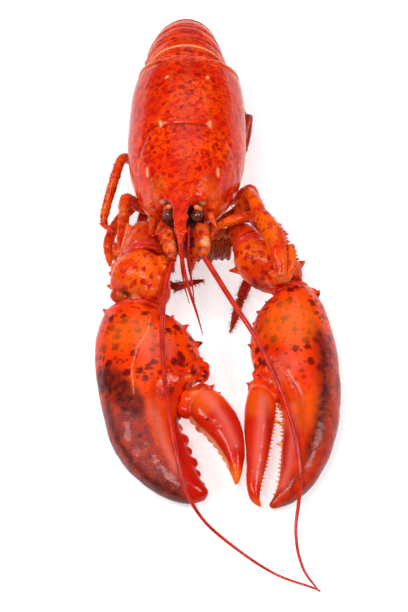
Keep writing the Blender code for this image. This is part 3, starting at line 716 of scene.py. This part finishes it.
head = {
    "feelers": {
        "antenna_right": [
            (-4.0, -76.2, 33.8, 1.5), (-6.2, -87, 34.2, 1.4), (-7, -104, 33, 1.3), (-6.5, -120.5, 32.6, 1.25),
            (-5, -136.5, 32.4, 1.2), (-2.4, -152, 30, 1.1), (0.4, -166, 27, 1.05), (3.6, -180, 22.8, 1.0),
            (8, -191.5, 16.4, 0.9), (17, -201, 7, 0.8), (33, -212, 1.6, 0.7), (48, -221.5, 0.9, 0.6),
            (62, -226.5, 0.7, 0.5), (67, -228.5, 0.6, 0.3)],
        "antenna_left": [
            (11.2, -75.8, 37.9, 1.5), (24.7, -100, 36.4, 1.4), (35.7, -118.2, 34.4, 1.3), (43.3, -133.7, 32.2, 1.2),
            (49.7, -149, 29.4, 1.15), (54.9, -166, 24.6, 1.05), (57.4, -182, 17.8, 0.95), (57, -191.5, 11.6, 0.9),
            (56, -201, 7, 0.8), (57, -211.5, 4.4, 0.75), (60, -220.5, 2.8, 0.65), (64.5, -227, 2.2, 0.5),
            (66.5, -229.5, 1.8, 0.3)],
        "antennule_right": [
            (-0.6, -58.5, 44, 1.6), (-0.2, -70, 39.4, 1.5), (1, -77, 33.4, 1.0), (4.2, -86, 26.6, 0.8),
            (8, -94.4, 20, 0.6), (11.4, -103.2, 14, 0.22)],
        "antennule_left": [
            (2.6, -57, 42, 1.2), (3.0, -68, 37, 1.2), (3.6, -75, 31.4, 0.8), (5.2, -81, 26.8, 0.5),
            (6.4, -87, 22.4, 0.3), (7.2, -91, 19.6, 0.16)],
    },
    "strands": {  # the second, thinner strand beside each antennule
        "antennule_strand_right": [
            (-0.4, -72, 37.2, 0.6), (0.6, -79, 31, 0.5), (2.6, -86, 25.6, 0.35), (4.6, -91, 21.6, 0.15)],
        "antennule_strand_left": [
            (3.6, -71, 34.4, 0.5), (4.4, -76, 29.4, 0.4), (5.2, -80, 25.8, 0.3), (5.6, -83, 23.4, 0.14)],
    },
}


def buildFeeler(name, route, ringGap):  # a tube of many short rings
    curve = bpy.data.curves.new(name, "CURVE")
    curve.dimensions = "3D"
    curve.bevel_depth, curve.bevel_resolution, curve.use_fill_caps = mm, 2, True
    smooth = []
    for i in range(len(route) - 1):
        a, b = np.array(route[max(i - 1, 0)]), np.array(route[i])
        c, d = np.array(route[i + 1]), np.array(route[min(i + 2, len(route) - 1)])
        steps = max(2, round(float(np.linalg.norm((c - b)[:3])) / ringGap))
        for k in range(steps):
            t = k / steps
            smooth.append(0.5 * (2 * b + (c - a) * t + (2 * a - 5 * b + 4 * c - d) * t ** 2
                                 + (3 * b - a - 3 * c + d) * t ** 3))
    smooth.append(np.array(route[-1]))
    strand = curve.splines.new("POLY")
    strand.points.add(len(smooth) - 1)
    for k, (point, (x, y, z, radius)) in enumerate(zip(strand.points, smooth)):
        radius *= 1.0 if k % 2 else 0.88
        point.co = (*place(x, y, max(z, radius + lowest)), 1)
        point.radius = radius
    feeler = bpy.data.objects.new(name, curve)
    bpy.context.scene.collection.objects.link(feeler)
    choose(feeler)
    bpy.ops.object.convert(target="MESH")
    return bpy.context.object


def buildHead():
    for node, route in head["feelers"].items():
        finished(buildFeeler(f"{node}_whip", route, 0.7), feelerGlaze, "feeler_red", node)
    for name, route in head["strands"].items():
        finished(buildFeeler(name, route, 0.6), feelerGlaze, "feeler_red")

    for word, side in (("left", 1), ("right", -1)):
        x = side * 6.6
        ball = workingCopy(f"eye_{word}", f"eye_{word}_ball", 3)
        welded(ball, [knob((x, -57.6, 46.9), 2.9, (1, 1, 0.92))], 0.3, 2)
        finished(ball, eyeGlaze, "eye_brown", f"eye_{word}")
        stalk = welded(knob((x - side * 0.4, -53.8, 49.2), 1.8, (0.8, 1.4, 0.8)),
                       [knob((x + side * 1.6, -54.6, 47.6), 1.9, (0.8, 1.2, 1))], 0.35, 3)
        stalk.name = f"eye_stalk_{word}"
        points = pointsOf(stalk)
        # darker towards the bottom: painted shade in the eye socket
        marked(
            stalk, cream=0.5 * blob(points, (x + side * 0.2, -54.8, 50.6), 1.6),
            dark=0.9 * ease(49.4 - points[:, 2], 0, 1.4))
        finished(stalk, limbGlaze, "limb_orange")

    bases = {
        "antenna_base_right": [((-9.6, -60.5, 40.6), 3.0), ((-7.2, -65.4, 39.2), 3.2), ((-4.8, -71.4, 35.6), 3.0)],
        "antenna_base_left": [((8.4, -60.5, 41.6), 3.0), ((9.8, -65.6, 41.4), 3.4), ((10.4, -71.6, 39.6), 3.4)],
    }
    for node, lumps in bases.items():
        side = 1 if "left" in node else -1
        extras = [knob(at, size * 0.92, (1, 0.9, 0.9)) for at, size in lumps]
        first = lumps[0][0]
        extras.append(spike((first[0] + side * 2.2, first[1] - 1.5, first[2] - 1.5), (side * 0.8, -1, 0), 1.2, 4))
        extras.append(spike((first[0] - side * 1.4, first[1] - 2.5, first[2] + 1.2), (side * 0.1, -1, 0.2), 0.9, 3))
        base = welded(workingCopy(node, f"{node}_joints", 2), extras, 0.45, 3)
        points = pointsOf(base)
        rings = np.min([np.abs(points[:, 1] - y) for y in (-63.2, -68.6, -73.4)], axis=0)
        pushed(base, -0.8 * bell(rings, 0.5) + 0.25 * bell(rings - 1.1, 0.7))
        roughened(base, 1.8, 0.35)
        x, y, z = lumps[2][0]
        marked(
            base, cream=(0.7 if side > 0 else 0.25) * blob(points, (x + 1, y + 2, z + 2.6), 2.6),
            plum=0.7 * bell(rings, 0.6), spotted=1, dark=0.7 * ease(38 - points[:, 2], 0, 5))
        finished(base, limbGlaze, "limb_orange", node)

    for node in ("antenna_scale_left", "antenna_scale_right"):
        side = 1 if "left" in node else -1
        scale = workingCopy(node, f"{node}_leaf", 2)
        low, high = pointsOf(scale).min(0), pointsOf(scale).max(0)
        spine = (high[0] - 1.4 if side > 0 else low[0] + 1.4, low[1] + 3.2, low[2] + 1.2)
        welded(scale, [spike(spine, (side * 0.35, -1, -0.15), 1.0, 3.4),
                       spike((spine[0] - side * 1.6, spine[1] + 3, spine[2] + 1.4), (side * 0.8, -0.8, 0), 0.8, 2.4)],
               0.4, 2)
        marked(scale, red=0.35)
        finished(scale, limbGlaze, "limb_orange", node)

    bristles = []
    for word, side in (("left", 1), ("right", -1)):
        node = f"maxilliped_{word}"
        jaw = workingCopy(node, f"{node}_palp", 2)
        extras = [knob((side * 5.6, -58.5, 24.5), 3.3, (0.9, 1, 1)), knob((side * 5.2, -66.6, 27.2), 2.6)]
        welded(jaw, extras, 0.5, 3)
        points = pointsOf(jaw)
        marked(jaw, spotted=1)
        finished(jaw, limbGlaze, "limb_orange", node)
        normals = normalsOf(jaw)
        for k in dice.sample(range(len(points)), 160):
            if points[k][1] < -52:
                aim = Vector(normals[k]) + Vector((0, -0.9, -0.2))
                bristles.append((tuple(points[k]), aim, 0.1, dice.uniform(1.6, 3)))
    finished(strewn("jaw_bristles", bristleModel, bristles), bristleGlaze, "limb_orange", smooth=False)

    roots = [knob((-13 + 2.9 * k, -52 - 6.4 * math.sin(0.25 * k), 25.4 - 0.055 * k * k), 2.9 + 0.5 * (k % 2),
                  (0.6, 1.1, 2.9 - 0.3 * (k % 3))) for k in range(13)]
    roots = welded(roots[0], roots[1:], 0.6, 2)
    roots.name = "jaw_roots"
    roughened(roots, 2.2, 0.7)
    points = pointsOf(roots)
    stripes = np.sin(points[:, 0] * 2.1 + np.sin(points[:, 2] * 0.6)) ** 2
    # brown with dark stripes, and near black towards the top, which is painted shade under the front of the carapace
    marked(roots, dark=0.55 + 0.35 * stripes, soot=0.35 * ease(points[:, 2], 26, 34))
    finished(roots, limbGlaze, "limb_orange")

    # a dark plate put in the shadow under the front of the carapace: its dark and its near black towards the top are
    # painted shadow
    face = knob((0, -52.6, 37), 8.6, (1.25, 0.62, 1.15))
    face.name = "mouth_frame"
    lumps = [knob((side * 4.8, -57.6, 41.5), 3.0, (1, 0.8, 1)) for side in (-1, 1)]
    lumps += [knob((side * 8.6, -53.4, 31), 4.6, (1, 0.8, 1.2)) for side in (-1, 1)]
    lumps += [knob((0, -57.4, 33), 4.2, (1.2, 0.8, 1.1)), knob((1.2, -58.2, 43.6), 2.6)]
    welded(face, lumps, 0.55, 4)
    roughened(face, 2.6, 0.6)
    points = pointsOf(face)
    marked(face, dark=0.92 * ease(points[:, 2], 36, 41) + 0.25, soot=0.55 * ease(points[:, 2], 41.5, 45))
    finished(face, limbGlaze, "limb_orange")


buildHead()
print("head ready")


# the claws

crusher = {
    "spines": [  # place, aim, radius, length
        ((-5.2, -98.0, 17), (0.75, 0.85, 0.25), 2.2, 4.6), ((1.2, -102.6, 16.5), (0.8, 0.6, 0.25), 2.6, 5.0),
        ((6.6, -111.6, 16), (0.95, 0.3, 0.25), 3.0, 5.6), ((9.4, -119.6, 16), (1, 0.3, 0.3), 2.4, 3.4),
        ((-3.4, -100.5, 21), (0.4, 0.8, 0.9), 1.5, 2.6), ((2.6, -107.6, 21.4), (0.5, 0.5, 0.9), 1.5, 2.4),
        ((6.8, -116.2, 21.4), (0.6, 0.2, 0.9), 1.4, 2.2), ((-34.4, -94, 17), (-0.9, 0.7, 0.2), 1.9, 3.0)],
    "knobs": [
        ((11.6, -126.4, 14.6), 4.2), ((12.4, -123.0, 15.4), 3.0), ((5.6, -128.4, 18.4), 3.0),
        ((9.2, -126.6, 17.6), 3.0),
        ((1.0, -133.2, 18.6), 2.8), ((-2.2, -138.8, 16.6), 3.4)],
    "molars": [
        ((0.2, -147.8, 11), 3.4), ((1.2, -154.2, 10.6), 3.2), ((3.8, -160.4, 10.2), 4.0), ((6.0, -166.0, 9.8), 3.4),
        ((8.4, -171.6, 9.2), 3.8), ((11.0, -177.0, 8.6), 3.0), ((13.2, -182.0, 8.0), 2.6)],
    "teeth": [
        ((9.8, -151.4, 14.2), 2.6), ((12.8, -155.0, 13.8), 2.8), ((15.8, -157.6, 13.4), 2.2), ((18.0, -160.2, 13), 2.4),
        ((20.2, -163.4, 12.6), 2.0), ((22.4, -166.6, 12.2), 2.0), ((24.2, -170.0, 11.8), 1.7),
        ((26.0, -173.4, 11.4), 1.5)],
    "hinge": [((8.4, -141.6, 15.4), 6.0, (1, 1, 0.92)), ((5.8, -146.4, 14.6), 4.6, (1, 1, 0.9)),
              ((12.6, -137.2, 15.6), 4.6, (1, 1, 0.9))],
    "hingeSpines": [((15.8, -135.6, 16.4), (0.9, 0.75, 0.3), 1.6, 3.6),
                    ((19.6, -138.6, 16.4), (0.9, 0.8, 0.3), 1.2, 2.4)],
    "socket": [(-2, -137, 19), (3, -133, 20.5), (8, -130.6, 19.5), (12.6, -130.4, 16)],
    "outerEdge": ([89, 103, 122, 141, 160, 168, 175, 182, 187, 190],
                  [-30, -38, -38.2, -34.3, -29.2, -25.4, -20, -13, -5.6, 2.3]),
    "innerEdge": ([146, 160, 175, 190], [-6.5, -2.5, 2.2, 8.5]),
    "strip": ([130, 150, 168, 184], [-15, -14, -7.5, 1]),  # the band of painted highlight, which runs on to the tip
    "patch": [(-33, -133), (-28, -138), (-22, -145.5), (-18, -151)],
    "scratch": [(-13.1, -104.1), (-13.4, -112.3), (-17.9, -122.4), (-19.8, -133.5), (-17.9, -145.8)],
}


def buildCrusher():
    palm = workingCopy("crusher_propodus", "crusher_palm", 3, 0.6)
    extras = [spike(*spine) for spine in crusher["spines"]]
    extras += [knob(at, size) for at, size in crusher["knobs"]]
    extras += [knob(at, size, (1, 0.85, 0.7)) for at, size in crusher["molars"]]
    welded(palm, extras, 0.6, 5)
    roughened(palm, 12, 0.9)
    roughened(palm, 3.2, 0.2)
    points, normals = pointsOf(palm), normalsOf(palm)
    x, y, _ = points.T
    top = ease(normals[:, 2], 0.05, 0.45)
    socket = gapTo(points, crusher["socket"])
    pushed(palm, -0.5 * line(points, crusher["scratch"], 0.5) * top * 0.5 - 0.7 * bell(socket, 0.9)
           + 0.5 * bell(socket - 2.2, 1.1))
    edge, inside, strip = (x - np.interp(-y, *crusher[name]) for name in ("outerEdge", "innerEdge", "strip"))
    inner = ease(inside, 0, 1.6)
    low = ease(-y, 138, 158)
    patch = gapTo(points, crusher["patch"])
    # painted light: the pale and pink band along the strip and the pink patch on the palm are painted highlight, the
    # plum is purple-brown with painted sheen, and the dark along the outer edge and on faces turned sideways and down
    # is painted shade; the maroon patch is the shell's own
    marked(
        palm, spotted=(1 - ease(-y, 134, 152)) * 0.95 + 0.12,
        plum=low * (1 - inner) * (1 - 0.75 * ease(strip, -2, 2) * (1 - ease(-y, 168, 180)))
            + 0.35 * (1 - ease(edge, 1.5, 5)) * ease(-y, 118, 135),
        dark=0.95 * (1 - ease(patch, 3, 8)) + 0.7 * bell(edge - 2.6, 1.4) * ease(-y, 126, 150)
            + 0.22 * low * (1 - inner) * (1 - ease(strip, -3, 1)) + 0.5 * (1 - inner) * ease(-y, 180, 187)
            + 0.6 * (1 - ease(normals[:, 2], 0.1, 0.42)) * ease(-y, 128, 150) * (1 - ease(edge, 5, 9)),
        wrinkled=low * (1 - inner) * top * (1 - 0.5 * ease(strip, -2, 2)),
        red=0.9 * ease(-y, 148, 166) * inner + 0.5 * ease(-y, 128, 148) * ease(x, -6, 4),
        pale=0.3 * bell(strip - 3, 3.5) * ease(-y, 146, 156) * (1 - ease(-y, 176, 186)) * top
            + 0.4 * blob(points, (-22, -118), 14) * (1 - ease(-y, 112, 128)),
        cream=0.5 * line(points, crusher["scratch"], 0.24) * top + 0.5 * bell(socket, 0.6)
            + 0.35 * line(points, [(0.4, -150.5, 12), (8, -164, 10)], 1.0),
        rosy=0.6 * bell(strip - 4, 2.2) * ease(-y, 146, 156) * (1 - ease(-y, 176, 184)) * top
            + 0.3 * blob(points, (-9, -121), 9) * top,
        soot=np.maximum(blob(points, (-14, -165.5), 1.2) * 0.6, 0.5 * blob(points, (-9, -175), 0.9)) * top
            + 0.75 * blob(points, (1.5, -152.5, 13.5), 2.6))
    finished(palm, clawGlaze, "shell_red", "crusher_propodus")

    finger = workingCopy("crusher_dactyl", "crusher_finger", 3, 0.45)
    extras = [knob(*lump) for lump in crusher["teeth"] + crusher["hinge"]]
    extras += [spike(*spine) for spine in crusher["hingeSpines"]]
    welded(finger, extras, 0.5, 4)
    roughened(finger, 7, 0.5)
    roughened(finger, 2.4, 0.14)
    points = pointsOf(finger)
    y = points[:, 1]
    biting = gapTo(points, [at for at, size in crusher["teeth"]])
    root = 1 - ease(-y, 137, 143)
    marked(
        finger,
        cream=0.7 * (1 - ease(biting, 1.8, 3.2)) * ease(gapTo(points, [(14, -148), (30, -172)]), 2, 5)
            + 0.45 * line(points, [(8, -142, 20), (14, -137, 21)], 0.9),
        pale=0.85 * ease(-y, 174, 180) + 0.3 * blob(points, (14, -146), 7),
        # a painted highlight along the middle of the finger
        rosy=0.5 * line(points, [(14, -142), (19, -149), (24, -157), (28, -166)], 2.4),
        red=0.85 * ease(-y, 141, 150) * (1 - 0.4 * ease(-y, 170, 178)), spotted=0.5 * root + 0.1,
        soot=0.95 * blob(points, (15.8, -154.6, 19.5), 1.0), wrinkled=0.12)
    finished(finger, clawGlaze, "shell_red", "crusher_dactyl")


cutter = {
    "spines": [
        ((42.4, -87.6, 18), (-0.8, 0.75, 0.25), 2.0, 3.8), ((39.0, -92.6, 17.6), (-0.95, 0.4, 0.2), 2.0, 3.6),
        ((37.0, -98.6, 17), (-1, 0.2, 0.25), 1.9, 3.2), ((36.6, -105, 16.6), (-1, 0.2, 0.2), 1.7, 2.8),
        ((37.2, -111.6, 16.4), (-1, 0.15, 0.3), 2.3, 5.2), ((37.6, -117.4, 16), (-1, 0.1, 0.2), 1.9, 3.0),
        ((40.6, -97, 22), (-0.5, 0.3, 0.9), 1.4, 2.4), ((40, -106, 22.4), (-0.5, 0.2, 0.9), 1.3, 2.2),
        ((64.6, -81.4, 20), (0.7, 1, 0.3), 1.8, 3.2)],
    "knobs": [((38.6, -120.6, 16), 3.2), ((41.4, -124.6, 17), 3.2), ((38.2, -124.6, 14), 3.0),
              ((45.4, -129.6, 16.4), 3.6), ((62.0, -80.6, 19), 3.2)],
    "palmTeeth": [(47.5, -138.6, 12.4), (49.6, -144, 12), (50.2, -149.4, 11.4), (49.8, -157.4, 10.6),
                  (49.6, -165.4, 9.8), (49.2, -173.4, 9), (48.4, -180.4, 8.2), (46.8, -186.2, 7.4)],
    "fingerTeeth": [(46.4, -141.4, 14.6), (46.2, -147.4, 14), (45.4, -153.8, 13.2), (44.4, -160.8, 12.3),
                    (43.4, -167, 11.4), (42, -173.8, 10.5), (40.6, -179.6, 9.9), (39.8, -185.2, 9)],
    "hinge": [((39.0, -134.4, 15.2), 5.2, (1.15, 0.9, 0.9)), ((44, -137.2, 14.6), 4.2, (1, 1, 0.9))],
    "hingeSpines": [((35.6, -133.4, 15.6), (-0.9, 0.5, 0.25), 1.8, 4.4),
                    ((37.2, -130.4, 16.4), (-0.8, 0.9, 0.3), 1.5, 3.2)],
    "socket": [(36, -127.4, 14), (40, -129.4, 18.6), (45, -132, 18.6), (49, -137, 16)],
    "outerEdge": ([77, 89, 99, 120, 140, 157, 172, 180, 185, 189], [60, 69, 72, 75.4, 75.6, 73.4, 68, 63.6, 58, 52]),
    "specks": [(67, -141.3, 22.5), (54.8, -153.5, 18.1), (70.5, -150, 18.7), (71.6, -148, 17.6)],
}


def comb(route, gap, aim, size, big=()):  # a row of small teeth along an edge
    spots = []
    for a, b in zip(route, route[1:]):
        a, b = Vector(a), Vector(b)
        count = max(1, round((b - a).length / gap))
        for k in range(count):
            at = a.lerp(b, (k + 0.5) / count)
            scale = size * (1.9 if len(spots) in big else dice.uniform(0.7, 1.15))
            spots.append((tuple(at), (aim[0], aim[1] + dice.uniform(-0.2, 0.2), aim[2]), scale * 0.62, scale * 1.35))
    return spots


def buildCutter():
    palm = workingCopy("cutter_propodus", "cutter_palm", 3, 0.6)
    extras = [spike(*spine) for spine in cutter["spines"]]
    extras += [knob(at, size) for at, size in cutter["knobs"]]
    welded(palm, extras, 0.6, 3)
    roughened(palm, 12, 0.8)
    roughened(palm, 3.2, 0.18)
    points, normals = pointsOf(palm), normalsOf(palm)
    y = points[:, 1]
    top = ease(normals[:, 2], 0.05, 0.45)
    socket = gapTo(points, cutter["socket"])
    pushed(palm, -0.7 * bell(socket, 0.9) + 0.5 * bell(socket - 2.2, 1.1))
    edge = np.interp(-y, *cutter["outerEdge"]) - points[:, 0]
    outer = 1 - ease(edge, 6, 12)
    along = ease(-y, 98, 116) * (1 - 0.5 * ease(-y, 160, 178))
    # painted shade: dark along the outer edge and on faces turned sideways and down; the maroon band is the shell's
    # own, the plum on it carries painted sheen, and the pink line and patch are painted highlight
    marked(
        palm, spotted=(1 - 0.75 * ease(-y, 122, 142)),
        dark=1.0 * bell(edge - 7.5, 4.0) * along + 0.4 * (1 - ease(edge, 1.2, 4)) * ease(-y, 110, 130)
            + 0.5 * (1 - ease(normals[:, 2], 0.1, 0.42)) * ease(-y, 100, 125) * (1 - ease(edge, 5, 9)),
        plum=0.4 * outer * along,
        red=0.85 * ease(-y, 140, 160) * ease(edge, 12, 17) + 0.35 * ease(-y, 150, 170),
        wrinkled=0.8 * outer * along * top,
        pale=0.45 * blob(points, (52, -104), 14) + 0.3 * blob(points, (60, -150), 10),
        cream=0.5 * bell(socket, 0.6),
        rosy=0.6 * line(points, [(53, -146), (54, -160), (52.6, -174), (49.6, -183)], 1.8)
            + 0.3 * blob(points, (50, -128), 7) * top,
        soot=0.95 * sum(blob(points, at, 0.8) for at in cutter["specks"]))
    finished(palm, clawGlaze, "shell_red", "cutter_propodus")

    finger = workingCopy("cutter_dactyl", "cutter_finger", 3, 0.4)
    extras = [knob(*lump) for lump in cutter["hinge"]] + [spike(*spine) for spine in cutter["hingeSpines"]]
    welded(finger, extras, 0.5, 4)
    roughened(finger, 7, 0.4)
    points = pointsOf(finger)
    y = points[:, 1]
    marked(
        finger, red=0.75 * ease(-y, 138, 152),
        pale=0.35 * blob(points, (38.6, -146), 7) + 0.5 * ease(-y, 187.5, 191),
        cream=0.5 * line(points, [(34, -135, 19), (40, -137, 20.6), (46, -140, 18)], 0.8),
        # a painted highlight along the middle of the finger
        rosy=0.62 * line(points, [(40.6, -144), (39.6, -156), (38.6, -170), (38.8, -180)], 2.2),
        spotted=0.35 * (1 - ease(-y, 136, 145)))
    finished(finger, clawGlaze, "shell_red", "cutter_dactyl")

    spots = comb(cutter["palmTeeth"], 2.1, (-1, -0.1, 0.2), 1.25, (1, 6, 11))
    spots += comb(cutter["fingerTeeth"], 1.9, (1, -0.1, 0.1), 1.0, (4,))
    finished(strewn("cutter_teeth", thornModel, spots), toothGlaze, "shell_red")


buildCrusher()
buildCutter()
print("claws ready")


# the arms that carry the claws

arms = {
    "crusher_carpus": {
        "spines": [((-31.0, -81, 19.6), (-1, 0.25, 0.05), 2.4, 5.0), ((-32.6, -75, 22), (-1, 0.5, 0.2), 1.9, 3.0),
                   ((-30.4, -70.6, 26), (-0.9, 0.7, 0.3), 1.7, 2.8), ((-24, -68.6, 33), (-0.6, 0.9, 0.5), 1.6, 2.6)],
        "knobs": [((-12.6, -87.6, 26.6), 6.6, (1, 0.95, 0.95)), ((-27.4, -86.6, 20.6), 4.6, (1.3, 0.9, 1)),
                  ((-20, -90, 21), 3.0, (1.4, 0.8, 0.9)), ((-30, -74, 25), 4.0, (1, 1.2, 1)),
                  ((-18.0, -74.5, 33.4), 4.0, (1.4, 1.1, 0.8)), ((-9.6, -76, 29), 6.0, (0.9, 1.2, 0.9))],
        "hollow": (-24.4, -84.8, 24), "bit": (-20.4, -89.6, 24.6)},
    "cutter_carpus": {
        "spines": [((55.4, -64.6, 21), (1, 0.45, 0.2), 2.1, 4.4), ((56.6, -70, 27), (0.9, 0.5, 0.4), 1.6, 2.6),
                   ((30.4, -66.8, 33), (-0.7, 0.7, 0.5), 1.5, 2.4), ((26.8, -69.8, 22), (-1, -0.1, 0), 2.1, 4.4)],
        "knobs": [((45.6, -78.6, 27.6), 5.4, (1.05, 0.9, 1)), ((37.4, -76.6, 23), 4.4, (1.1, 1, 1)),
                  ((54.6, -75.6, 22.4), 3.2, (1, 0.9, 1))],
        "hollow": (49, -83.4, 19), "bit": (52.6, -78.6, 22.6)},
}


def buildArms():
    for node, extra in arms.items():
        wrist = workingCopy(node, f"{node}_wrist", 3, 0.3)
        extras = [spike(*spine) for spine in extra["spines"]] + [knob(*lump) for lump in extra["knobs"]]
        welded(wrist, extras, 0.52, 3)
        roughened(wrist, 7, 0.8)
        roughened(wrist, 2.6, 0.2)
        points = pointsOf(wrist)
        (bulge, size, _), (cheek, width, _) = extra["knobs"][:2]
        # painted shade: dark in the hollow, which is also pushed in; the cheek knob is darker too
        marked(
            wrist, spotted=1, red=0.45 * blob(points, bulge, size * 1.1),
            cream=0.3 * ease(22 - points[:, 2], 0, 7) * (0.5 + 0.5 * np.sin(points[:, 0] * 0.8))
                + 0.6 * blob(points, extra["bit"], 2.4),
            dark=0.55 * blob(points, cheek, width * 1.3) + 0.95 * blob(points, extra["hollow"], 4.6))
        pushed(wrist, -1.6 * blob(points, extra["hollow"], 4.4))
        finished(wrist, limbGlaze, "limb_orange", node)

    upperSpines = {
        "crusher_merus": [((-23.4, -47, 22), (-0.42, -0.85, -0.08), 6.2, 22, 0.3, 0.45, 16),
                          ((-30, -61, 22.6), (-0.9, -0.7, 0.1), 1.7, 4),
                          ((-25.6, -54, 26.6), (-1, -0.3, 0.3), 1.5, 2.4)],
        "cutter_merus": [((25.4, -55, 29), (-0.7, -0.5, 0.5), 1.3, 2)]}
    flank = [(-24, -44, 24), (-34, -68, 20)]
    for node in ("crusher_merus", "cutter_merus", "crusher_ischium", "cutter_ischium"):
        arm = workingCopy(node, f"{node}_arm", 3, 0.25)
        welded(arm, [spike(*spine) for spine in upperSpines.get(node, [])], 0.55, 3)
        roughened(arm, 4, 0.5)
        points = pointsOf(arm)
        marked(
            arm, spotted=0.9,
            cream=0.6 * line(points, flank, 3.4) * (0.4 + 0.6 * np.sin(points[:, 1] * 1.3) ** 2)
                if "crusher" in node else 0.25 * ease(24 - points[:, 2], 0, 6),
            red=0.5 * ease(points[:, 2], 30, 35))
        finished(arm, limbGlaze, "limb_orange", node)

    skins = {  # soft rings: place, aim, radius, thickness, stretch
        "crusher_elbow_skin": [((-17.9, -66.6, 27.4), (0.05, -1, 0), 7.7, 1.7, (1.06, 1, 1.04)),
                               ((-18.2, -65.2, 27.6), (0.05, -1, 0.05), 8.4, 1.3, (1.05, 1, 1.04)),
                               ((-17.6, -68.4, 27.4), (0.05, -1, -0.05), 8.6, 1.2, (1.05, 1, 1.02))],
        "cutter_elbow_skin": [((32.4, -60.4, 27.6), (0.35, -1, 0), 6.4, 1.6, (1.06, 1, 1.05)),
                              ((31.8, -58.8, 27.8), (0.35, -1, 0.05), 7.0, 1.2, (1.04, 1, 1.04)),
                              ((33, -62, 27.4), (0.35, -1, -0.05), 7.4, 1.2, (1.04, 1, 1.04))],
        "crusher_wrist_skin": [((-19.6, -91.6, 18.2), (0, -1, -0.25), 6.4, 2.4, (1.25, 1, 0.8))],
        "cutter_wrist_skin": [((51.8, -79.4, 20.4), (0.25, -1, -0.3), 5.4, 2.2, (1.2, 1, 0.8))],
    }
    for name, rings in skins.items():
        made = [cuff(*ring) for ring in rings]
        core = knob(rings[0][0], rings[0][2] * 1.02, (1, 0.5, 1))
        skin = welded(core, made, 0.5, 3)
        skin.name = name
        roughened(skin, 2.4, 0.35)
        points = pointsOf(skin)
        if "wrist" in name:
            marked(skin, dark=0.7 * ease(20 - points[:, 2], 0, 4))
        finished(skin, jointSkin, "limb_orange")


buildArms()
print("arms ready")


# the walking legs and the plate between them

legs = {
    "hairy": {"left_1": 90, "left_3": 420, "right_3": 420, "left_2": 70, "right_1": 90, "right_2": 90, "left_4": 90,
              "right_4": 90},
    # the legs that lie in shadow under the body: painted shade, darker and redder by these amounts
    "dark": {"left_3": 0.75, "right_3": 0.8, "left_4": 0.5},
    "swell": {"leg_left_1_propodus": 1.3, "leg_left_1_dactyl": 0.8},
}


def meeting(near, far):  # the middle of the joint between two nodes
    here, there = (np.unique(pointsOf(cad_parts[node]).round(3), axis=0) for node in (near, far))
    gaps = np.linalg.norm(here[:, None] - there[None], axis=2)
    ends = [here[gaps.min(1).argsort()[:8]].mean(0), there[gaps.min(0).argsort()[:8]].mean(0)]
    return tuple(np.mean(ends, axis=0))


def buildLegs():
    for name, count in legs["hairy"].items():
        bristles, thorns = [], []
        for part, ahead in (("merus", "propodus"), ("propodus", "dactyl"), ("dactyl", None)):
            node = f"leg_{name}_{part}"
            limb = workingCopy(node, f"{node}_limb", 2, legs["swell"].get(node, 0.2))
            if ahead:
                welded(limb, [knob(meeting(node, f"leg_{name}_{ahead}"), 2.7 if part == "merus" else 2.0)], 0.45, 3)
            roughened(limb, 3, 0.45)
            points, normals = pointsOf(limb), normalsOf(limb)
            y = points[:, 1]
            shade = legs["dark"].get(name, 0)
            ends = ease(np.abs(y - (y.min() + y.max()) / 2), (y.max() - y.min()) * 0.38, (y.max() - y.min()) * 0.5)
            # legs in shadow get painted shade, darker and redder; the joint ends are darker and plum
            marked(limb, spotted=0.75, plum=0.35 * ends, dark=shade * 0.7 + 0.2 * ends, red=shade)
            finished(limb, limbGlaze, "limb_orange", node)
            share = {"merus": 0.25, "propodus": 0.45, "dactyl": 0.3}[part]
            for k in dice.sample(range(len(points)), min(len(points), int(count * share))):
                lean = Vector((dice.uniform(-0.4, 0.4), dice.uniform(-0.9, 0), dice.uniform(-0.3, 0.3)))
                bristles.append((tuple(points[k] - normals[k] * 0.1), Vector(normals[k]) + lean,
                                 dice.uniform(0.07, 0.12), dice.uniform(1.1, 2.4)))
            for k in dice.sample(range(len(points)), 10):
                aim = Vector(normals[k]) + Vector((0, -0.6, 0))
                thorns.append((tuple(points[k] - normals[k] * 0.2), aim, 0.42, 1.2))
        if name == "left_1":  # the toothed outer edge of this pincer
            route = [(44.8, -58, 43.6), (48.4, -66, 43.8), (49.4, -74, 43), (49.8, -82, 41), (49, -88, 39)]
            thorns += comb(route, 2.0, (1, -0.2, 0.2), 1.7)
            thorns += comb([(52.8, -73, 42.8), (53.6, -79, 41.2), (52.2, -84, 39.6)], 1.8, (1, -0.2, 0.2), 1.5)
        finished(strewn(f"leg_{name}_bristles", bristleModel, bristles), bristleGlaze, "limb_orange", smooth=False)
        finished(strewn(f"leg_{name}_thorns", thornModel, thorns), limbGlaze, "limb_orange")

    plate = welded(workingCopy("sternum", "sternum_plate", 2),
                   [knob((side * 11, y, 10.5), 4.6, (1.2, 0.9, 0.8)) for side in (-1, 1) for y in (-33, -20, -7, 6)],
                   0.7, 3)
    points = pointsOf(plate)
    marked(plate, cream=0.4 * bell(points[:, 0], 5), dark=0.5 * bell(np.abs((points[:, 1] + 39.5) % 13 - 6.5), 0.8))
    finished(plate, limbGlaze, "limb_orange", "sternum")


buildLegs()
for model in (bristleModel, thornModel):
    bpy.data.objects.remove(model)
print("legs ready")
